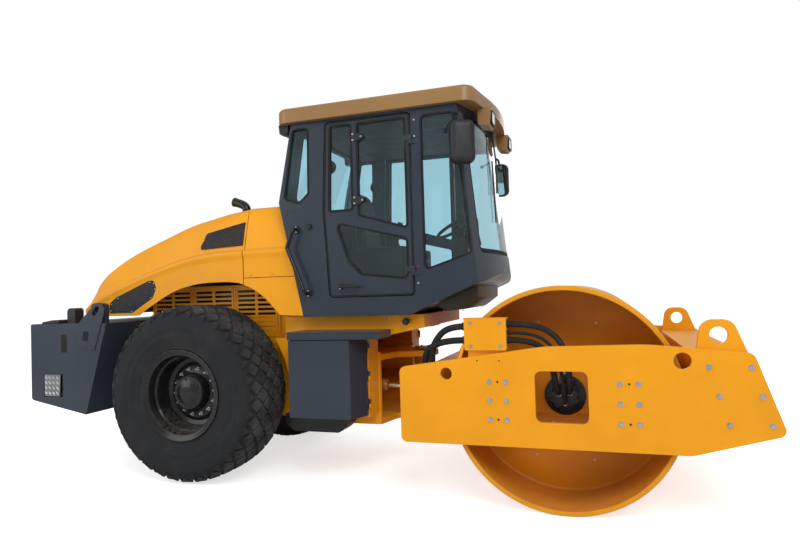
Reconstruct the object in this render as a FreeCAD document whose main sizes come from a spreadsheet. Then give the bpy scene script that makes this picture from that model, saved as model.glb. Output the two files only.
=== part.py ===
import FreeCAD, Part
import math
import os
import Sketcher

# An articulated vibratory roller with one smooth drum in front and two driven tyres behind.
# X points forward, Y to the machine's left and Z up. The origin is on the ground, under the
# middle of the machine. Lengths are in millimetres.

doc = FreeCAD.newDocument("VibratoryRoller")
sheet = doc.addObject("Spreadsheet::Sheet", "Sizes")

# Driving sizes: alias, value, what it is.
SIZES = [
    # drum
    ("drum_x", 1750, "drum axis ahead of the origin"),
    ("drum_radius", 800, "outside of the drum shell, and the height of its axis"),
    ("drum_width", 2130, "across the drum shell"),
    ("drum_shell", 35, "thickness of the rolled shell"),
    ("drum_recess", 470, "depth of each open end of the drum"),
    ("drum_web", 25, "thickness of each end disc"),
    ("drum_hub", 180, "radius of the hub on each end disc"),
    ("drum_bore", 60, "radius of the stub shaft that carries the drum"),
    ("shaft_gap", 0.3, "running gap of a shaft in its bore"),
    # front frame
    ("plate_outer", 1150, "outer face of a side plate from the middle plane"),
    ("plate_thick", 30, "side plate"),
    ("plate_rear", 590, "rear end of the side plates"),
    ("plate_front", 3092, "front tip of the side plates"),
    ("plate_low", 483, "lower edge of the side plates"),
    ("plate_rear_top", 1032, "height of the rear end of the top edge"),
    ("plate_crest", 1196, "height of the top edge above the drum"),
    ("plate_nose_top", 1143, "height of the front top corner"),
    ("plate_nose_low", 636, "height of the front tip"),
    ("plate_corner", 45, "corner radius of the side plates"),
    ("window_half", 176, "half the width of the window at the drum axis"),
    ("window_low", 660, "lower edge of the window"),
    ("window_high", 1013, "upper edge of the window"),
    ("beam_rear_x", 700, "rear face of the rear cross beam"),
    ("beam_depth", 180, "rear cross beam, front to back"),
    ("beam_high", 1000, "top of the rear cross beam"),
    ("beam_wall", 25, "plate of the cross beams"),
    ("front_beam_top", 1130, "top of the front cross beam"),
    ("front_beam_low", 640, "underside of the front cross beam"),
    ("ear_hole", 55, "radius of a lifting ear's hole"),
    ("ear_x", 2733, "lifting hole"),
    ("ear_z", 1252, "lifting hole"),
    ("ear_rim", 98, "radius of a lifting ear's top corners"),
    ("ear_thick", 32, "lifting ear"),
    ("mount_face", 700, "outer face of the carrier plate in a drum end"),
    ("mount_plate", 25, "carrier plate"),
    ("pad_inner", 340, "inner edge of a bolted pad from the drum axis"),
    ("pad_outer", 530, "outer edge of a bolted pad from the drum axis"),
    ("pad_low", 640, "lower edge of the bolted pads"),
    ("pad_high", 970, "upper edge of the bolted pads"),
    ("scraper_gap", 14, "scraper edge from the drum"),
    ("scraper_thick", 17, "scraper blade"),
    ("motor_radius", 95, "eight-sided motor cover"),
    ("motor_length", 90, "motor cover"),
    ("hose_box_rear", 1087, "hose cover box"),
    ("hose_box_front", 1388, "hose cover box"),
    ("hose_box_low", 1156, "hose cover box"),
    ("hose_box_high", 1381, "hose cover box"),
    ("hose_box_depth", 72, "hose cover box"),
    # articulation
    ("pivot_x", 440, "steering pin ahead of the origin"),
    ("swing_z", 750, "height of the oscillation axis"),
    ("hub_radius", 90, "knuckle hub"),
    ("hub_low", 500, "underside of the knuckle hub"),
    ("hub_high", 1000, "top of the knuckle hub"),
    ("pin_radius", 45, "steering pin"),
    ("journal_radius", 110, "oscillation journal"),
    ("fork_thick", 50, "fork plates of the rear frame"),
    ("fork_radius", 130, "rounded end of the fork plates"),
    ("fork_gap", 3, "between fork plates and hub"),
    ("eye_side", 360, "steering cylinder from the middle plane"),
    ("eye_z", 770, "height of the steering cylinders"),
    ("eye_radius", 35, "rod eye"),
    ("eye_thick", 40, "rod eye"),
    ("eye_gap", 9, "free space above and below the rod eye"),
    ("barrel_radius", 48, "steering cylinder barrel"),
    ("rod_radius", 22, "steering cylinder rod"),
    ("barrel_x", -350, "base pin of the steering cylinders"),
    ("barrel_front", 200, "front end of the barrels"),
    # rear frame
    ("rail_face", 500, "outer face of the chassis rails"),
    ("rail_thick", 35, "chassis rail"),
    ("rail_front", 190, "front end of the rails"),
    ("rail_top", 1210, "top of the rails"),
    ("rail_low", 480, "lower edge of the rails in front"),
    ("rail_belly", 560, "lower edge of the rails at the axle"),
    ("grille_rear", -2180, "rear end of the slotted panels"),
    ("grille_front", -765, "front end of the slotted panels"),
    ("grille_top", 1700, "top of the slotted panels"),
    ("grille_thick", 10, "slotted panels behind the wheels"),
    ("skirt_face", 640, "outer face of the yellow side plates"),
    ("skirt_rear", -600, "rear edge of the yellow side plates"),
    ("strip_face", 720, "outer edge of the hinge strip"),
    ("deck_top", 1400, "top of the cab deck"),
    ("deck_half", 640, "half the width of the cab deck"),
    ("deck_front", 645, "front edge of the cab deck"),
    ("deck_rear", -1090, "rear end of the narrow part of the deck"),
    ("deck_step", -640, "rear edge of the wide part of the deck"),
    # axle and wheels
    ("axle_x", -1415, "rear axle"),
    ("tyre_radius", 765, "outside of the tread, and the height of the axle"),
    ("tyre_outer", 1124, "outer face of a tyre from the middle plane"),
    ("tyre_width", 570, "section width of a tyre"),
    ("bead_inset", 41, "tyre bead inside the section width"),
    ("rim_radius", 380, "rim flange"),
    ("rim_seat", 330, "bead seat"),
    ("rim_wall", 14, "rim plate"),
    ("rim_hub", 150, "hub cap"),
    ("axle_tube", 130, "axle tube"),
    ("axle_stub", 75, "wheel shaft"),
    # counterweight
    ("weight_rear", -3080, "rear face of the counterweight"),
    ("weight_half", 1100, "half its width"),
    ("weight_top", 1390, "top"),
    ("weight_rear_low", 683, "lower edge at the rear"),
    ("weight_front_low", 566, "lower edge at the front"),
    ("weight_front_x", -2190, "front edge at the top"),
    ("weight_foot_x", -2436, "front edge at the bottom"),
    ("weight_inner", 500, "inner end of the slanted front faces"),
    # hood
    ("hood_side", 780, "hood side from the middle plane"),
    ("hood_wall", 12, "hood shell"),
    ("hood_hinge_x", -2890, "hood hinge"),
    ("hood_hinge_z", 1440, "hood hinge"),
    ("hood_front", -975, "front edge of the hood"),
    ("exhaust_x", -1225, "exhaust stack"),
    ("exhaust_y", -300, "exhaust stack"),
    ("exhaust_radius", 42, "exhaust stack"),
    ("arch_x", -1290, "middle of the wheel arch"),
    ("arch_top", 1722, "crown of the wheel arch"),
    # cab
    ("cab_side", 780, "outer face of the cab side"),
    ("cab_wall", 45, "cab wall and door leaf"),
    ("cab_floor", 1400, "underside of the cab"),
    ("cab_top", 3065, "top of the cab walls"),
    ("cab_rear", -385, "rear wall at the floor"),
    ("cab_rear_mid", -596, "rear wall at its knee"),
    ("cab_knee", 2389, "height of the rear knee"),
    ("cab_rear_top", -458, "rear wall at the top"),
    ("cab_front", 1230, "front of the screen at the middle plane"),
    ("cab_front_side", 1107, "front corner posts at the sill"),
    ("screen_lean", 115, "how far the front leans back to the top"),
    ("door_rear", -180, "rear edge of the doors"),
    ("door_front", 620, "front edge of the doors"),
    ("door_low", 1555, "lower edge of the doors"),
    ("door_high", 3045, "upper edge of the doors"),
    ("door_gap", 7, "gap all round a door"),
    ("door_hinge_x", 616, "hinge line of the doors"),
    ("door_hinge_y", 794, "hinge line of the doors from the middle plane"),
    ("door_hinge_pin", 5, "hinge pin of the doors"),
    ("box_hinge_x", 183, "hinge line of the box doors"),
    ("box_hinge_y", 732, "hinge line of the box doors from the middle plane"),
    ("box_hinge_pin", 4, "hinge pin of the box doors"),
    ("hood_pin", 12, "hinge pin of the hood"),
    ("pane_thick", 6, "glass"),
    ("seat_gap", 0.3, "rubber-thin gap round glass and under loose pieces"),
    ("roof_low", 3065, "underside of the roof"),
    ("roof_high", 3195, "top of the roof"),
    ("roof_half", 830, "half its width"),
    ("roof_rear", -590, "rear edge"),
    ("roof_front", 1265, "front edge"),
    # side boxes
    ("box_rear", -280, "storage box body"),
    ("box_front", 168, "storage box body"),
    ("box_low", 578, "underside of the storage boxes"),
    ("box_high", 1220, "top of the storage boxes"),
    ("box_face", 945, "outer face of the box doors"),
    ("box_sheet", 20, "box door thickness"),
    ("lid_rear", -456, "step plate over a box"),
    ("lid_front", 350, "step plate over a box"),
    ("lid_thick", 62, "step plate over a box"),
]


class Size:
    """A number that remembers the sheet formula it came from."""

    def __init__(self, value, formula):
        self.value = float(value)
        self.formula = formula

    def __add__(self, other):
        return Size(self.value + number(other), "(%s + %s)" % (self.formula, formula(other)))

    def __radd__(self, other):
        return Size(number(other) + self.value, "(%s + %s)" % (formula(other), self.formula))

    def __sub__(self, other):
        return Size(self.value - number(other), "(%s - %s)" % (self.formula, formula(other)))

    def __rsub__(self, other):
        return Size(number(other) - self.value, "(%s - %s)" % (formula(other), self.formula))

    def __mul__(self, other):
        return Size(self.value * number(other), "(%s * %s)" % (self.formula, formula(other)))

    def __rmul__(self, other):
        return Size(number(other) * self.value, "(%s * %s)" % (formula(other), self.formula))

    def __truediv__(self, other):
        return Size(self.value / number(other), "(%s / %s)" % (self.formula, formula(other)))

    def __neg__(self):
        return Size(-self.value, "(0 - %s)" % self.formula)


def number(amount):
    return amount.value if isinstance(amount, Size) else float(amount)


def formula(amount):
    return amount.formula if isinstance(amount, Size) else "(%s)" % repr(float(amount))


class Named:
    """The sheet's sizes as attributes."""


size = Named()
for row, (alias, value, words) in enumerate(SIZES, start=1):
    sheet.set("A%d" % row, words)
    sheet.set("B%d" % row, repr(value))
    sheet.setAlias("B%d" % row, alias)
    setattr(size, alias, Size(value, "Sizes." + alias))
doc.recompute()

SIDES = (("right", -1), ("left", 1))
PLANES = {"top": "XY_Plane", "side": "XZ_Plane", "front": "YZ_Plane"}
X_AXIS = FreeCAD.Vector(1, 0, 0)
Y_AXIS = FreeCAD.Vector(0, 1, 0)
Z_AXIS = FreeCAD.Vector(0, 0, 1)
nodes = []


def bind(item, name, amount):
    """Tie one property of an object to the sheet."""
    if isinstance(amount, Size):
        item.setExpression(name, amount.formula)
    else:
        item.setExpression(name, repr(float(amount)))


def place(item, x=0, y=0, z=0):
    for letter, amount in (("x", x), ("y", y), ("z", z)):
        if isinstance(amount, Size) or amount:
            bind(item, "Placement.Base." + letter, amount)
    return item


def node(label, item):
    """Name a finished sub-part."""
    item.Label = label
    nodes.append(item)
    return item


# Sketches


def sketch_in(body, name, plane, height):
    """A sketch on one of a body's own planes, moved along the plane's normal."""
    base = [f for f in body.Origin.OriginFeatures if f.Role == PLANES[plane]][0]
    sketch = body.newObject("Sketcher::SketchObject", name + "_sketch")
    sketch.AttachmentSupport = [(base, "")]
    sketch.MapMode = "FlatFace"
    bind(sketch, "AttachmentOffset.Base.z", height)
    return sketch


def outline(sketch, corners):
    """A closed outline. A corner is (u, v), or (u, v, radius) where it is rounded."""
    spots = [FreeCAD.Vector(number(c[0]), number(c[1]), 0) for c in corners]
    count = len(corners)
    starts = []
    ends = []
    arcs = []
    for i, corner in enumerate(corners):
        here = spots[i]
        if len(corner) < 3:
            starts.append(here)
            ends.append(here)
            arcs.append(None)
            continue
        back = (spots[i - 1] - here).normalize()
        ahead = (spots[(i + 1) % count] - here).normalize()
        half = back.getAngle(ahead) / 2
        reach = number(corner[2]) / math.tan(half)
        middle = here + (back + ahead).normalize() * (number(corner[2]) / math.sin(half))
        arrive = here + back * reach
        leave = here + ahead * reach
        turn = (here - spots[i - 1]).cross(spots[(i + 1) % count] - here).z
        first = arrive if turn > 0 else leave
        last = leave if turn > 0 else arrive
        angles = [math.atan2(p.y - middle.y, p.x - middle.x) for p in (first, last)]
        circle = Part.Circle(middle, Z_AXIS, number(corner[2]))
        arcs.append((Part.ArcOfCircle(circle, angles[0], angles[1]), turn > 0))
        starts.append(leave)
        ends.append(arrive)
    lines = []
    for i in range(count):
        segment = Part.LineSegment(starts[i], ends[(i + 1) % count])
        lines.append(sketch.addGeometry(segment, False))
    ties = []
    for i, corner in enumerate(corners):
        before = lines[i - 1]
        after = lines[i]
        if arcs[i] is None:
            ties.append((Sketcher.Constraint("Coincident", before, 2, after, 1), None))
            spot = (after, 1)
        else:
            shape, forward = arcs[i]
            arc = sketch.addGeometry(shape, False)
            point = sketch.addGeometry(Part.Point(spots[i]), True)
            near = 1 if forward else 2
            ties.append((Sketcher.Constraint("Tangent", before, 2, arc, near), None))
            ties.append((Sketcher.Constraint("Tangent", after, 1, arc, 3 - near), None))
            ties.append((Sketcher.Constraint("PointOnObject", point, 1, before), None))
            ties.append((Sketcher.Constraint("PointOnObject", point, 1, after), None))
            ties.append((Sketcher.Constraint("Radius", arc, number(corner[2])), corner[2]))
            spot = (point, 1)
        for word, amount in (("DistanceX", corner[0]), ("DistanceY", corner[1])):
            tie = Sketcher.Constraint(word, -1, 1, spot[0], spot[1], number(amount))
            ties.append((tie, amount))
    add_ties(sketch, ties)


def circle(sketch, u, v, radius):
    spot = FreeCAD.Vector(number(u), number(v), 0)
    index = sketch.addGeometry(Part.Circle(spot, Z_AXIS, number(radius)), False)
    add_ties(sketch, [
        (Sketcher.Constraint("DistanceX", -1, 1, index, 3, number(u)), u),
        (Sketcher.Constraint("DistanceY", -1, 1, index, 3, number(v)), v),
        (Sketcher.Constraint("Radius", index, number(radius)), radius),
    ])


def add_ties(sketch, ties):
    first = sketch.ConstraintCount
    sketch.addConstraint([tie for tie, amount in ties])
    for index, (tie, amount) in enumerate(ties):
        if isinstance(amount, Size):
            sketch.setExpression("Constraints[%d]" % (first + index), amount.formula)


# Solids


def pad(name, plane, corners, start, end, openings=(), holes=()):
    """An outline made solid between two distances along X, Y or Z.

    openings are further outlines and holes are (u, v, radius), both left open.
    """
    body = doc.addObject("PartDesign::Body", name)
    height = -end if plane == "side" else start
    sketch = sketch_in(body, name, plane, height)
    outline(sketch, corners)
    for opening in openings:
        outline(sketch, opening)
    for hole in holes:
        circle(sketch, *hole)
    feature = body.newObject("PartDesign::Pad", name + "_pad")
    feature.Profile = sketch
    bind(feature, "Length", end - start)
    return body


def turned(name, corners, x, y, z):
    """A profile of (along Y, radius) corners turned round the line through x, z along Y."""
    body = doc.addObject("PartDesign::Body", name)
    sketch = sketch_in(body, name, "front", 0)
    outline(sketch, corners)
    feature = body.newObject("PartDesign::Revolution", name + "_turn")
    feature.Profile = sketch
    feature.ReferenceAxis = (sketch, ["H_Axis"])
    feature.Angle = 360
    return place(body, x, y, z)


def bar(name, axis, x, y, z, length, radius):
    """A round bar from a point, along X, Y or Z."""
    item = doc.addObject("Part::Cylinder", name)
    bind(item, "Radius", radius)
    bind(item, "Height", length)
    if axis == "X":
        item.Placement.Rotation = FreeCAD.Rotation(Y_AXIS, 90)
    if axis == "Y":
        item.Placement.Rotation = FreeCAD.Rotation(X_AXIS, -90)
    return place(item, x, y, z)


def block(name, x, y, z, length, width, height):
    """A box from its lowest corner."""
    item = doc.addObject("Part::Box", name)
    bind(item, "Length", length)
    bind(item, "Width", width)
    bind(item, "Height", height)
    return place(item, x, y, z)


def fuse(name, items):
    item = doc.addObject("Part::MultiFuse", name)
    item.Shapes = items
    item.Refine = True
    return item


def gather(name, items):
    """Solids that stay apart, kept as one sub-part."""
    item = doc.addObject("Part::Compound", name)
    item.Links = items
    return item


def cut(name, base, tool):
    item = doc.addObject("Part::Cut", name)
    item.Base = base
    item.Tool = tool
    return item


def common(name, first, second):
    item = doc.addObject("Part::MultiCommon", name)
    item.Shapes = [first, second]
    return item


def bent_bar(points, radius, bend):
    """A round bar along a route whose corners are rounded by arcs; gives a shape."""
    spots = [FreeCAD.Vector(*[number(c) for c in p]) for p in points]
    edges = []
    last = spots[0]
    for i in range(1, len(spots) - 1):
        here = spots[i]
        back = (spots[i - 1] - here).normalize()
        ahead = (spots[i + 1] - here).normalize()
        half = back.getAngle(ahead) / 2
        reach = number(bend) / math.tan(half)
        middle = here + (back + ahead).normalize() * (number(bend) / math.sin(half))
        crown = middle + (here - middle).normalize() * number(bend)
        edges.append(Part.LineSegment(last, here + back * reach).toShape())
        edges.append(Part.Arc(here + back * reach, crown, here + ahead * reach).toShape())
        last = here + ahead * reach
    edges.append(Part.LineSegment(last, spots[-1]).toShape())
    path = Part.Wire(edges)
    ring = Part.Wire(Part.Circle(spots[0], spots[1] - spots[0], number(radius)).toShape())
    return path.makePipeShell([ring], True, False)


def feature(name, shape):
    item = doc.addObject("Part::Feature", name)
    item.Shape = shape
    item.Placement = FreeCAD.Placement()
    return item


def outward(sign, near, far):
    """The start and end along Y of a piece between two distances from the middle plane."""
    return (near, far) if sign > 0 else (-far, -near)


def hinge_pair(name, x, y, pin, gap, heights, moving, fixed):
    """Knuckles with a pin along Z: the door's half and the frame's half.

    moving and fixed are the flat leaves' (x, y) outlines from above.
    """
    ring = pin + 5
    door_half = []
    frame_half = []
    for index, z in enumerate(heights):
        tag = "%s%d" % (name, index)
        knuckle = fuse(tag + "MovingSolid", [
            bar(tag + "MovingRing", "Z", x, y, z + 31, 40, ring),
            pad(tag + "MovingLeaf", "top", moving, z + 31, z + 71)])
        door_half.append(cut(tag + "Moving", knuckle, bar(
            tag + "MovingBore", "Z", x, y, z + 20, 60, pin + gap)))
        frame_half.append(fuse(tag + "Fixed", [
            bar(tag + "FixedRing", "Z", x, y, z, 30, ring),
            bar(tag + "Pin", "Z", x, y, z + 30, 46, pin),
            pad(tag + "FixedLeaf", "top", fixed, z, z + 30)]))
    return door_half, frame_half


def mirrored(corners, sign):
    """An outline from above, given on the left side, for one side."""
    if sign > 0:
        return corners
    return [(x, -y) for x, y in reversed(corners)]


# Drum


def make_drum():
    s = size
    half = s.drum_width / 2
    web = half - s.drum_recess
    bore = s.drum_bore + s.shaft_gap
    inner = s.drum_radius - s.drum_shell
    hub_end = web + 40
    right = [
        (-hub_end, bore), (-hub_end, s.drum_hub), (-web, s.drum_hub), (-web, inner),
        (-half, inner), (-half, s.drum_radius),
    ]
    left = [(half, s.drum_radius), (half, inner), (web, inner), (web, s.drum_hub),
            (hub_end, s.drum_hub), (hub_end, bore)]
    cavity = web - s.drum_web
    middle = [(cavity, bore), (cavity, inner), (-cavity, inner), (-cavity, bore)]
    node("drum", turned("Drum", right + left + middle, s.drum_x, 0, s.drum_radius))


# Front frame


def plate_corners():
    s = size
    return [
        (s.plate_rear, s.plate_low, s.plate_corner),
        (s.drum_x + 800, s.plate_low, 200),
        (s.plate_front, s.plate_nose_low, s.plate_corner),
        (s.drum_x + 1172, s.plate_nose_top, 60),
        (s.drum_x + 545, s.plate_crest, 900),
        (s.drum_x - 110, s.plate_crest - 14, 900),
        (s.plate_rear, s.plate_rear_top, s.plate_corner),
    ]


def make_side_plates():
    s = size
    window = [
        (s.drum_x - s.window_half, s.window_low, 45), (s.drum_x + s.window_half, s.window_low, 45),
        (s.drum_x + s.window_half, s.window_high, 45),
        (s.drum_x - s.window_half, s.window_high, 45),
    ]
    holes = [(s.drum_x - 805, 988, 43), (s.drum_x + 764, 1090, 54)]
    for side, sign in SIDES:
        start, end = outward(sign, s.plate_outer - s.plate_thick, s.plate_outer)
        plate = pad("SidePlate_" + side, "side", plate_corners(), start, end, [window], holes)
        node("side_plate_" + side, plate)


def make_cross_beams():
    s = size
    inner = s.plate_outer - s.plate_thick
    rear_front = s.beam_rear_x + s.beam_depth
    rear = pad("RearBeam", "side", [
        (s.beam_rear_x, s.plate_low + 20), (rear_front, s.plate_low + 20),
        (rear_front, s.beam_high), (s.beam_rear_x, s.beam_high)], -inner, inner)
    bore = bar("JournalBore", "X", s.beam_rear_x - 5, 0, s.swing_z, s.beam_depth + 10,
               s.journal_radius + s.shaft_gap)
    node("rear_beam", cut("RearBeamBored", rear, bore))
    reach = s.drum_radius + 60
    front = pad("FrontBeam", "side", [
        (s.drum_x + reach - 30, s.front_beam_top), (s.ear_x + 167, s.front_beam_top),
        (s.plate_front - 60, 700), (s.plate_front - 130, s.front_beam_low),
        (s.drum_x + reach + 90, s.front_beam_low)],
        -inner, inner)
    node("front_beam", front)


def make_lifting_ears():
    s = size
    corners = [
        (s.ear_x - 138, s.front_beam_top), (s.ear_x + 167, s.front_beam_top),
        (s.ear_x + 82, s.ear_z + 100, 80), (s.ear_x - 100, s.ear_z + 100, 80)]
    far = s.plate_outer - s.plate_thick
    ears = []
    for side, sign in SIDES:
        start, end = outward(sign, far - s.ear_thick, far)
        ears.append(pad("Ear_" + side, "side", corners, start, end, (),
                        [(s.ear_x, s.ear_z, s.ear_hole)]))
    node("lifting_ears", gather("LiftingEars", ears))


def make_drum_mounts():
    s = size
    inner = s.plate_outer - s.plate_thick
    web = s.drum_width / 2 - s.drum_recess
    for side, sign in SIDES:
        pieces = []
        for place_word, near, far in (("Rear", -s.pad_outer, -s.pad_inner),
                                      ("Front", s.pad_inner, s.pad_outer)):
            start, end = outward(sign, s.mount_face - s.mount_plate, inner)
            pieces.append(pad("Pad%s_%s" % (place_word, side), "side", [
                (s.drum_x + near, s.pad_low), (s.drum_x + far, s.pad_low),
                (s.drum_x + far, s.pad_high), (s.drum_x + near, s.pad_high)], start, end, [[
                    (s.drum_x + near + 20, s.pad_low + 20), (s.drum_x + far - 20, s.pad_low + 20),
                    (s.drum_x + far - 20, s.pad_high - 20),
                    (s.drum_x + near + 20, s.pad_high - 20)]]))
        start, end = outward(sign, s.mount_face - s.mount_plate, s.mount_face)
        pieces.append(pad("Carrier_" + side, "side", [
            (s.drum_x - s.pad_outer, s.pad_low), (s.drum_x + s.pad_outer, s.pad_low),
            (s.drum_x + s.pad_outer, s.pad_high), (s.drum_x - s.pad_outer, s.pad_high)],
            start, end))
        hub_near = web + 40 + 6
        hub_start, hub_end = outward(sign, hub_near, s.mount_face - s.mount_plate)
        pieces.append(bar("MountHub_" + side, "Y", s.drum_x, hub_start, s.drum_radius,
                          hub_end - hub_start, 150))
        stub_start, stub_end = outward(sign, web - s.drum_web, hub_near)
        pieces.append(bar("MountStub_" + side, "Y", s.drum_x, stub_start, s.drum_radius,
                          stub_end - stub_start, s.drum_bore))
        node("drum_mount_" + side, fuse("DrumMount_" + side, pieces))


def octagon(x, z, radius):
    return [(x + radius * math.cos(math.radians(a)), z + radius * math.sin(math.radians(a)))
            for a in range(22, 360, 45)]


def make_drum_motors():
    s = size
    for side, sign in SIDES:
        start, end = outward(sign, s.mount_face, s.mount_face + 22)
        flange = bar("MotorFlange_" + side, "Y", s.drum_x, start, s.drum_radius - 20,
                     end - start, 150)
        start, end = outward(sign, s.mount_face + 22, s.mount_face + 22 + s.motor_length)
        cover = pad("MotorCover_" + side, "side",
                    octagon(s.drum_x, s.drum_radius - 20, s.motor_radius), start, end)
        node("drum_motor_" + side, fuse("DrumMotor_" + side, [flange, cover]))


def make_hose_box():
    s = size
    corners = [(s.hose_box_rear, s.hose_box_low, 12), (s.hose_box_front, s.hose_box_low, 12),
               (s.hose_box_front, s.hose_box_high, 12), (s.hose_box_rear, s.hose_box_high, 12)]
    box = pad("HoseBox", "side", corners, -s.plate_outer, s.hose_box_depth - s.plate_outer)
    foot = pad("HoseBoxFoot", "side", [
        (s.hose_box_rear + 20, 1060), (s.hose_box_front - 12, 1060),
        (s.hose_box_front - 12, s.hose_box_low), (s.hose_box_rear + 20, s.hose_box_low)],
        s.plate_thick - s.plate_outer, s.hose_box_depth - s.plate_outer - 8)
    node("hose_box", fuse("HoseBoxWithFoot", [box, foot]))


def make_scrapers():
    s = size
    inner = s.plate_outer - s.plate_thick
    reach = s.drum_radius + s.scraper_gap
    across = reach * math.cos(math.radians(17))
    down = reach * math.sin(math.radians(17))
    z = s.drum_radius - down
    thick = s.scraper_thick
    front_x = s.drum_x + across
    front = pad("ScraperFront", "side", [
        (front_x, z), (front_x + 230, s.front_beam_low - thick),
        (front_x + 330, s.front_beam_low - thick), (front_x + 330, s.front_beam_low),
        (front_x + 225, s.front_beam_low), (front_x, z + thick)], -inner, inner)
    rear_x = s.drum_x - across
    beam = s.beam_rear_x + s.beam_depth
    rear = pad("ScraperRear", "side", [
        (rear_x, z), (rear_x, z + thick), (beam + thick, z + 60), (beam + thick, z + 150),
        (beam, z + 150), (beam, z + 42)], -inner, inner)
    node("drum_scrapers", gather("DrumScrapers", [front, rear]))


# Drum hoses: radius, bend radius and route from end to end.
HOSES = [
    (16, 95, [(1388, -1104, 1338), (1590, -1104, 1338), (1745, -1092, 1240), (1800, -1092, 1080),
              (1800, -1040, 930), (1790, -930, 822), (1790, -812, 822)]),
    (16, 85, [(1388, -1104, 1225), (1560, -1104, 1225), (1670, -1092, 1130), (1700, -1075, 980),
              (1712, -950, 815), (1712, -812, 815)]),
    (9, 70, [(1388, -1112, 1278), (1560, -1112, 1278), (1700, -1108, 1190), (1755, -1100, 1040),
             (1755, -950, 735), (1755, -812, 735)]),
    (18, 80, [(1087, -1108, 1325), (950, -1108, 1325), (840, -1078, 1200), (820, -1060, 1110),
              (820, -1060, 1000)]),
    (18, 70, [(1087, -1108, 1225), (950, -1108, 1225), (800, -1068, 1170), (760, -1050, 1090),
              (760, -1050, 1000)]),
]


def make_hoses():
    pieces = []
    for index, (radius, bend, route) in enumerate(HOSES):
        pieces.append(feature("Hose%d" % index, bent_bar(route, radius, bend)))
    node("drum_hoses", gather("DrumHoses", pieces))


# Articulation


def make_knuckle():
    s = size
    hub = bar("KnuckleHub", "Z", s.pivot_x, 0, s.hub_low + s.fork_gap,
              s.hub_high - s.hub_low - s.fork_gap * 2, s.hub_radius)
    arm = pad("KnuckleArm", "side", [
        (s.pivot_x, s.swing_z - 150), (s.beam_rear_x - 40, s.swing_z - 150),
        (s.beam_rear_x - 40, s.swing_z + 150), (s.pivot_x, s.swing_z + 150)], Size(-80, "(-80)"), 80)
    collar = bar("KnuckleCollar", "X", s.beam_rear_x - 45, 0, s.swing_z, 40, s.journal_radius + 60)
    journal = bar("KnuckleJournal", "X", s.beam_rear_x - 5, 0, s.swing_z, s.beam_depth,
                  s.journal_radius)
    half_eye = s.eye_thick / 2 + s.eye_gap
    wings = []
    for word, low in (("Upper", s.eye_z + half_eye), ("Lower", s.eye_z - half_eye - 20)):
        wings.append(pad("KnuckleWing" + word, "top", [
            (s.pivot_x - 45, -s.eye_side - 40, 40), (s.pivot_x + 50, -s.eye_side - 40, 40),
            (s.pivot_x + 90, 0, 30), (s.pivot_x + 50, s.eye_side + 40, 40),
            (s.pivot_x - 45, s.eye_side + 40, 40)], low, low + 20))
    solid = fuse("KnuckleSolid", [hub, arm, collar, journal] + wings)
    bore = bar("PinBore", "Z", s.pivot_x, 0, s.hub_low - 20, s.hub_high - s.hub_low + 40,
               s.pin_radius + s.shaft_gap)
    node("knuckle", cut("Knuckle", solid, bore))


def make_steering_cylinders():
    s = size
    for side, sign in SIDES:
        y = s.eye_side * sign
        eye = bar("BarrelEye_" + side, "Z", s.barrel_x, y, s.eye_z - s.eye_thick / 2,
                  s.eye_thick, s.eye_radius + 10)
        neck = bar("BarrelNeck_" + side, "X", s.barrel_x + 35, y, s.eye_z, 40, 18)
        tube = bar("BarrelTube_" + side, "X", s.barrel_x + 70, y, s.eye_z,
                   s.barrel_front - s.barrel_x - 70, s.barrel_radius)
        bore = bar("BarrelBore_" + side, "X", s.barrel_x + 90, y, s.eye_z,
                   s.barrel_front - s.barrel_x, s.rod_radius + s.shaft_gap)
        pin_hole = bar("BarrelHole_" + side, "Z", s.barrel_x, y, s.eye_z - s.eye_thick,
                       s.eye_thick * 2, 20 + s.shaft_gap)
        barrel = cut("Barrel_" + side, fuse("BarrelBlank_" + side, [eye, neck, tube]),
                     fuse("BarrelHoles_" + side, [bore, pin_hole]))
        node("steer_barrel_" + side, barrel)
        rod_eye = bar("RodEye_" + side, "Z", s.pivot_x, y, s.eye_z - s.eye_thick / 2,
                      s.eye_thick, s.eye_radius)
        shaft = bar("RodShaft_" + side, "X", s.pivot_x - 490, y, s.eye_z, 465, s.rod_radius)
        node("steer_rod_" + side, fuse("SteerRod_" + side, [rod_eye, shaft]))


# Rear frame


def weight_face(z):
    """The slanted front face of the counterweight at a height."""
    s = size
    slope = (s.weight_front_x - s.weight_foot_x) / (s.weight_top - s.weight_front_low)
    return s.weight_foot_x + (z - s.weight_front_low) * slope


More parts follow.
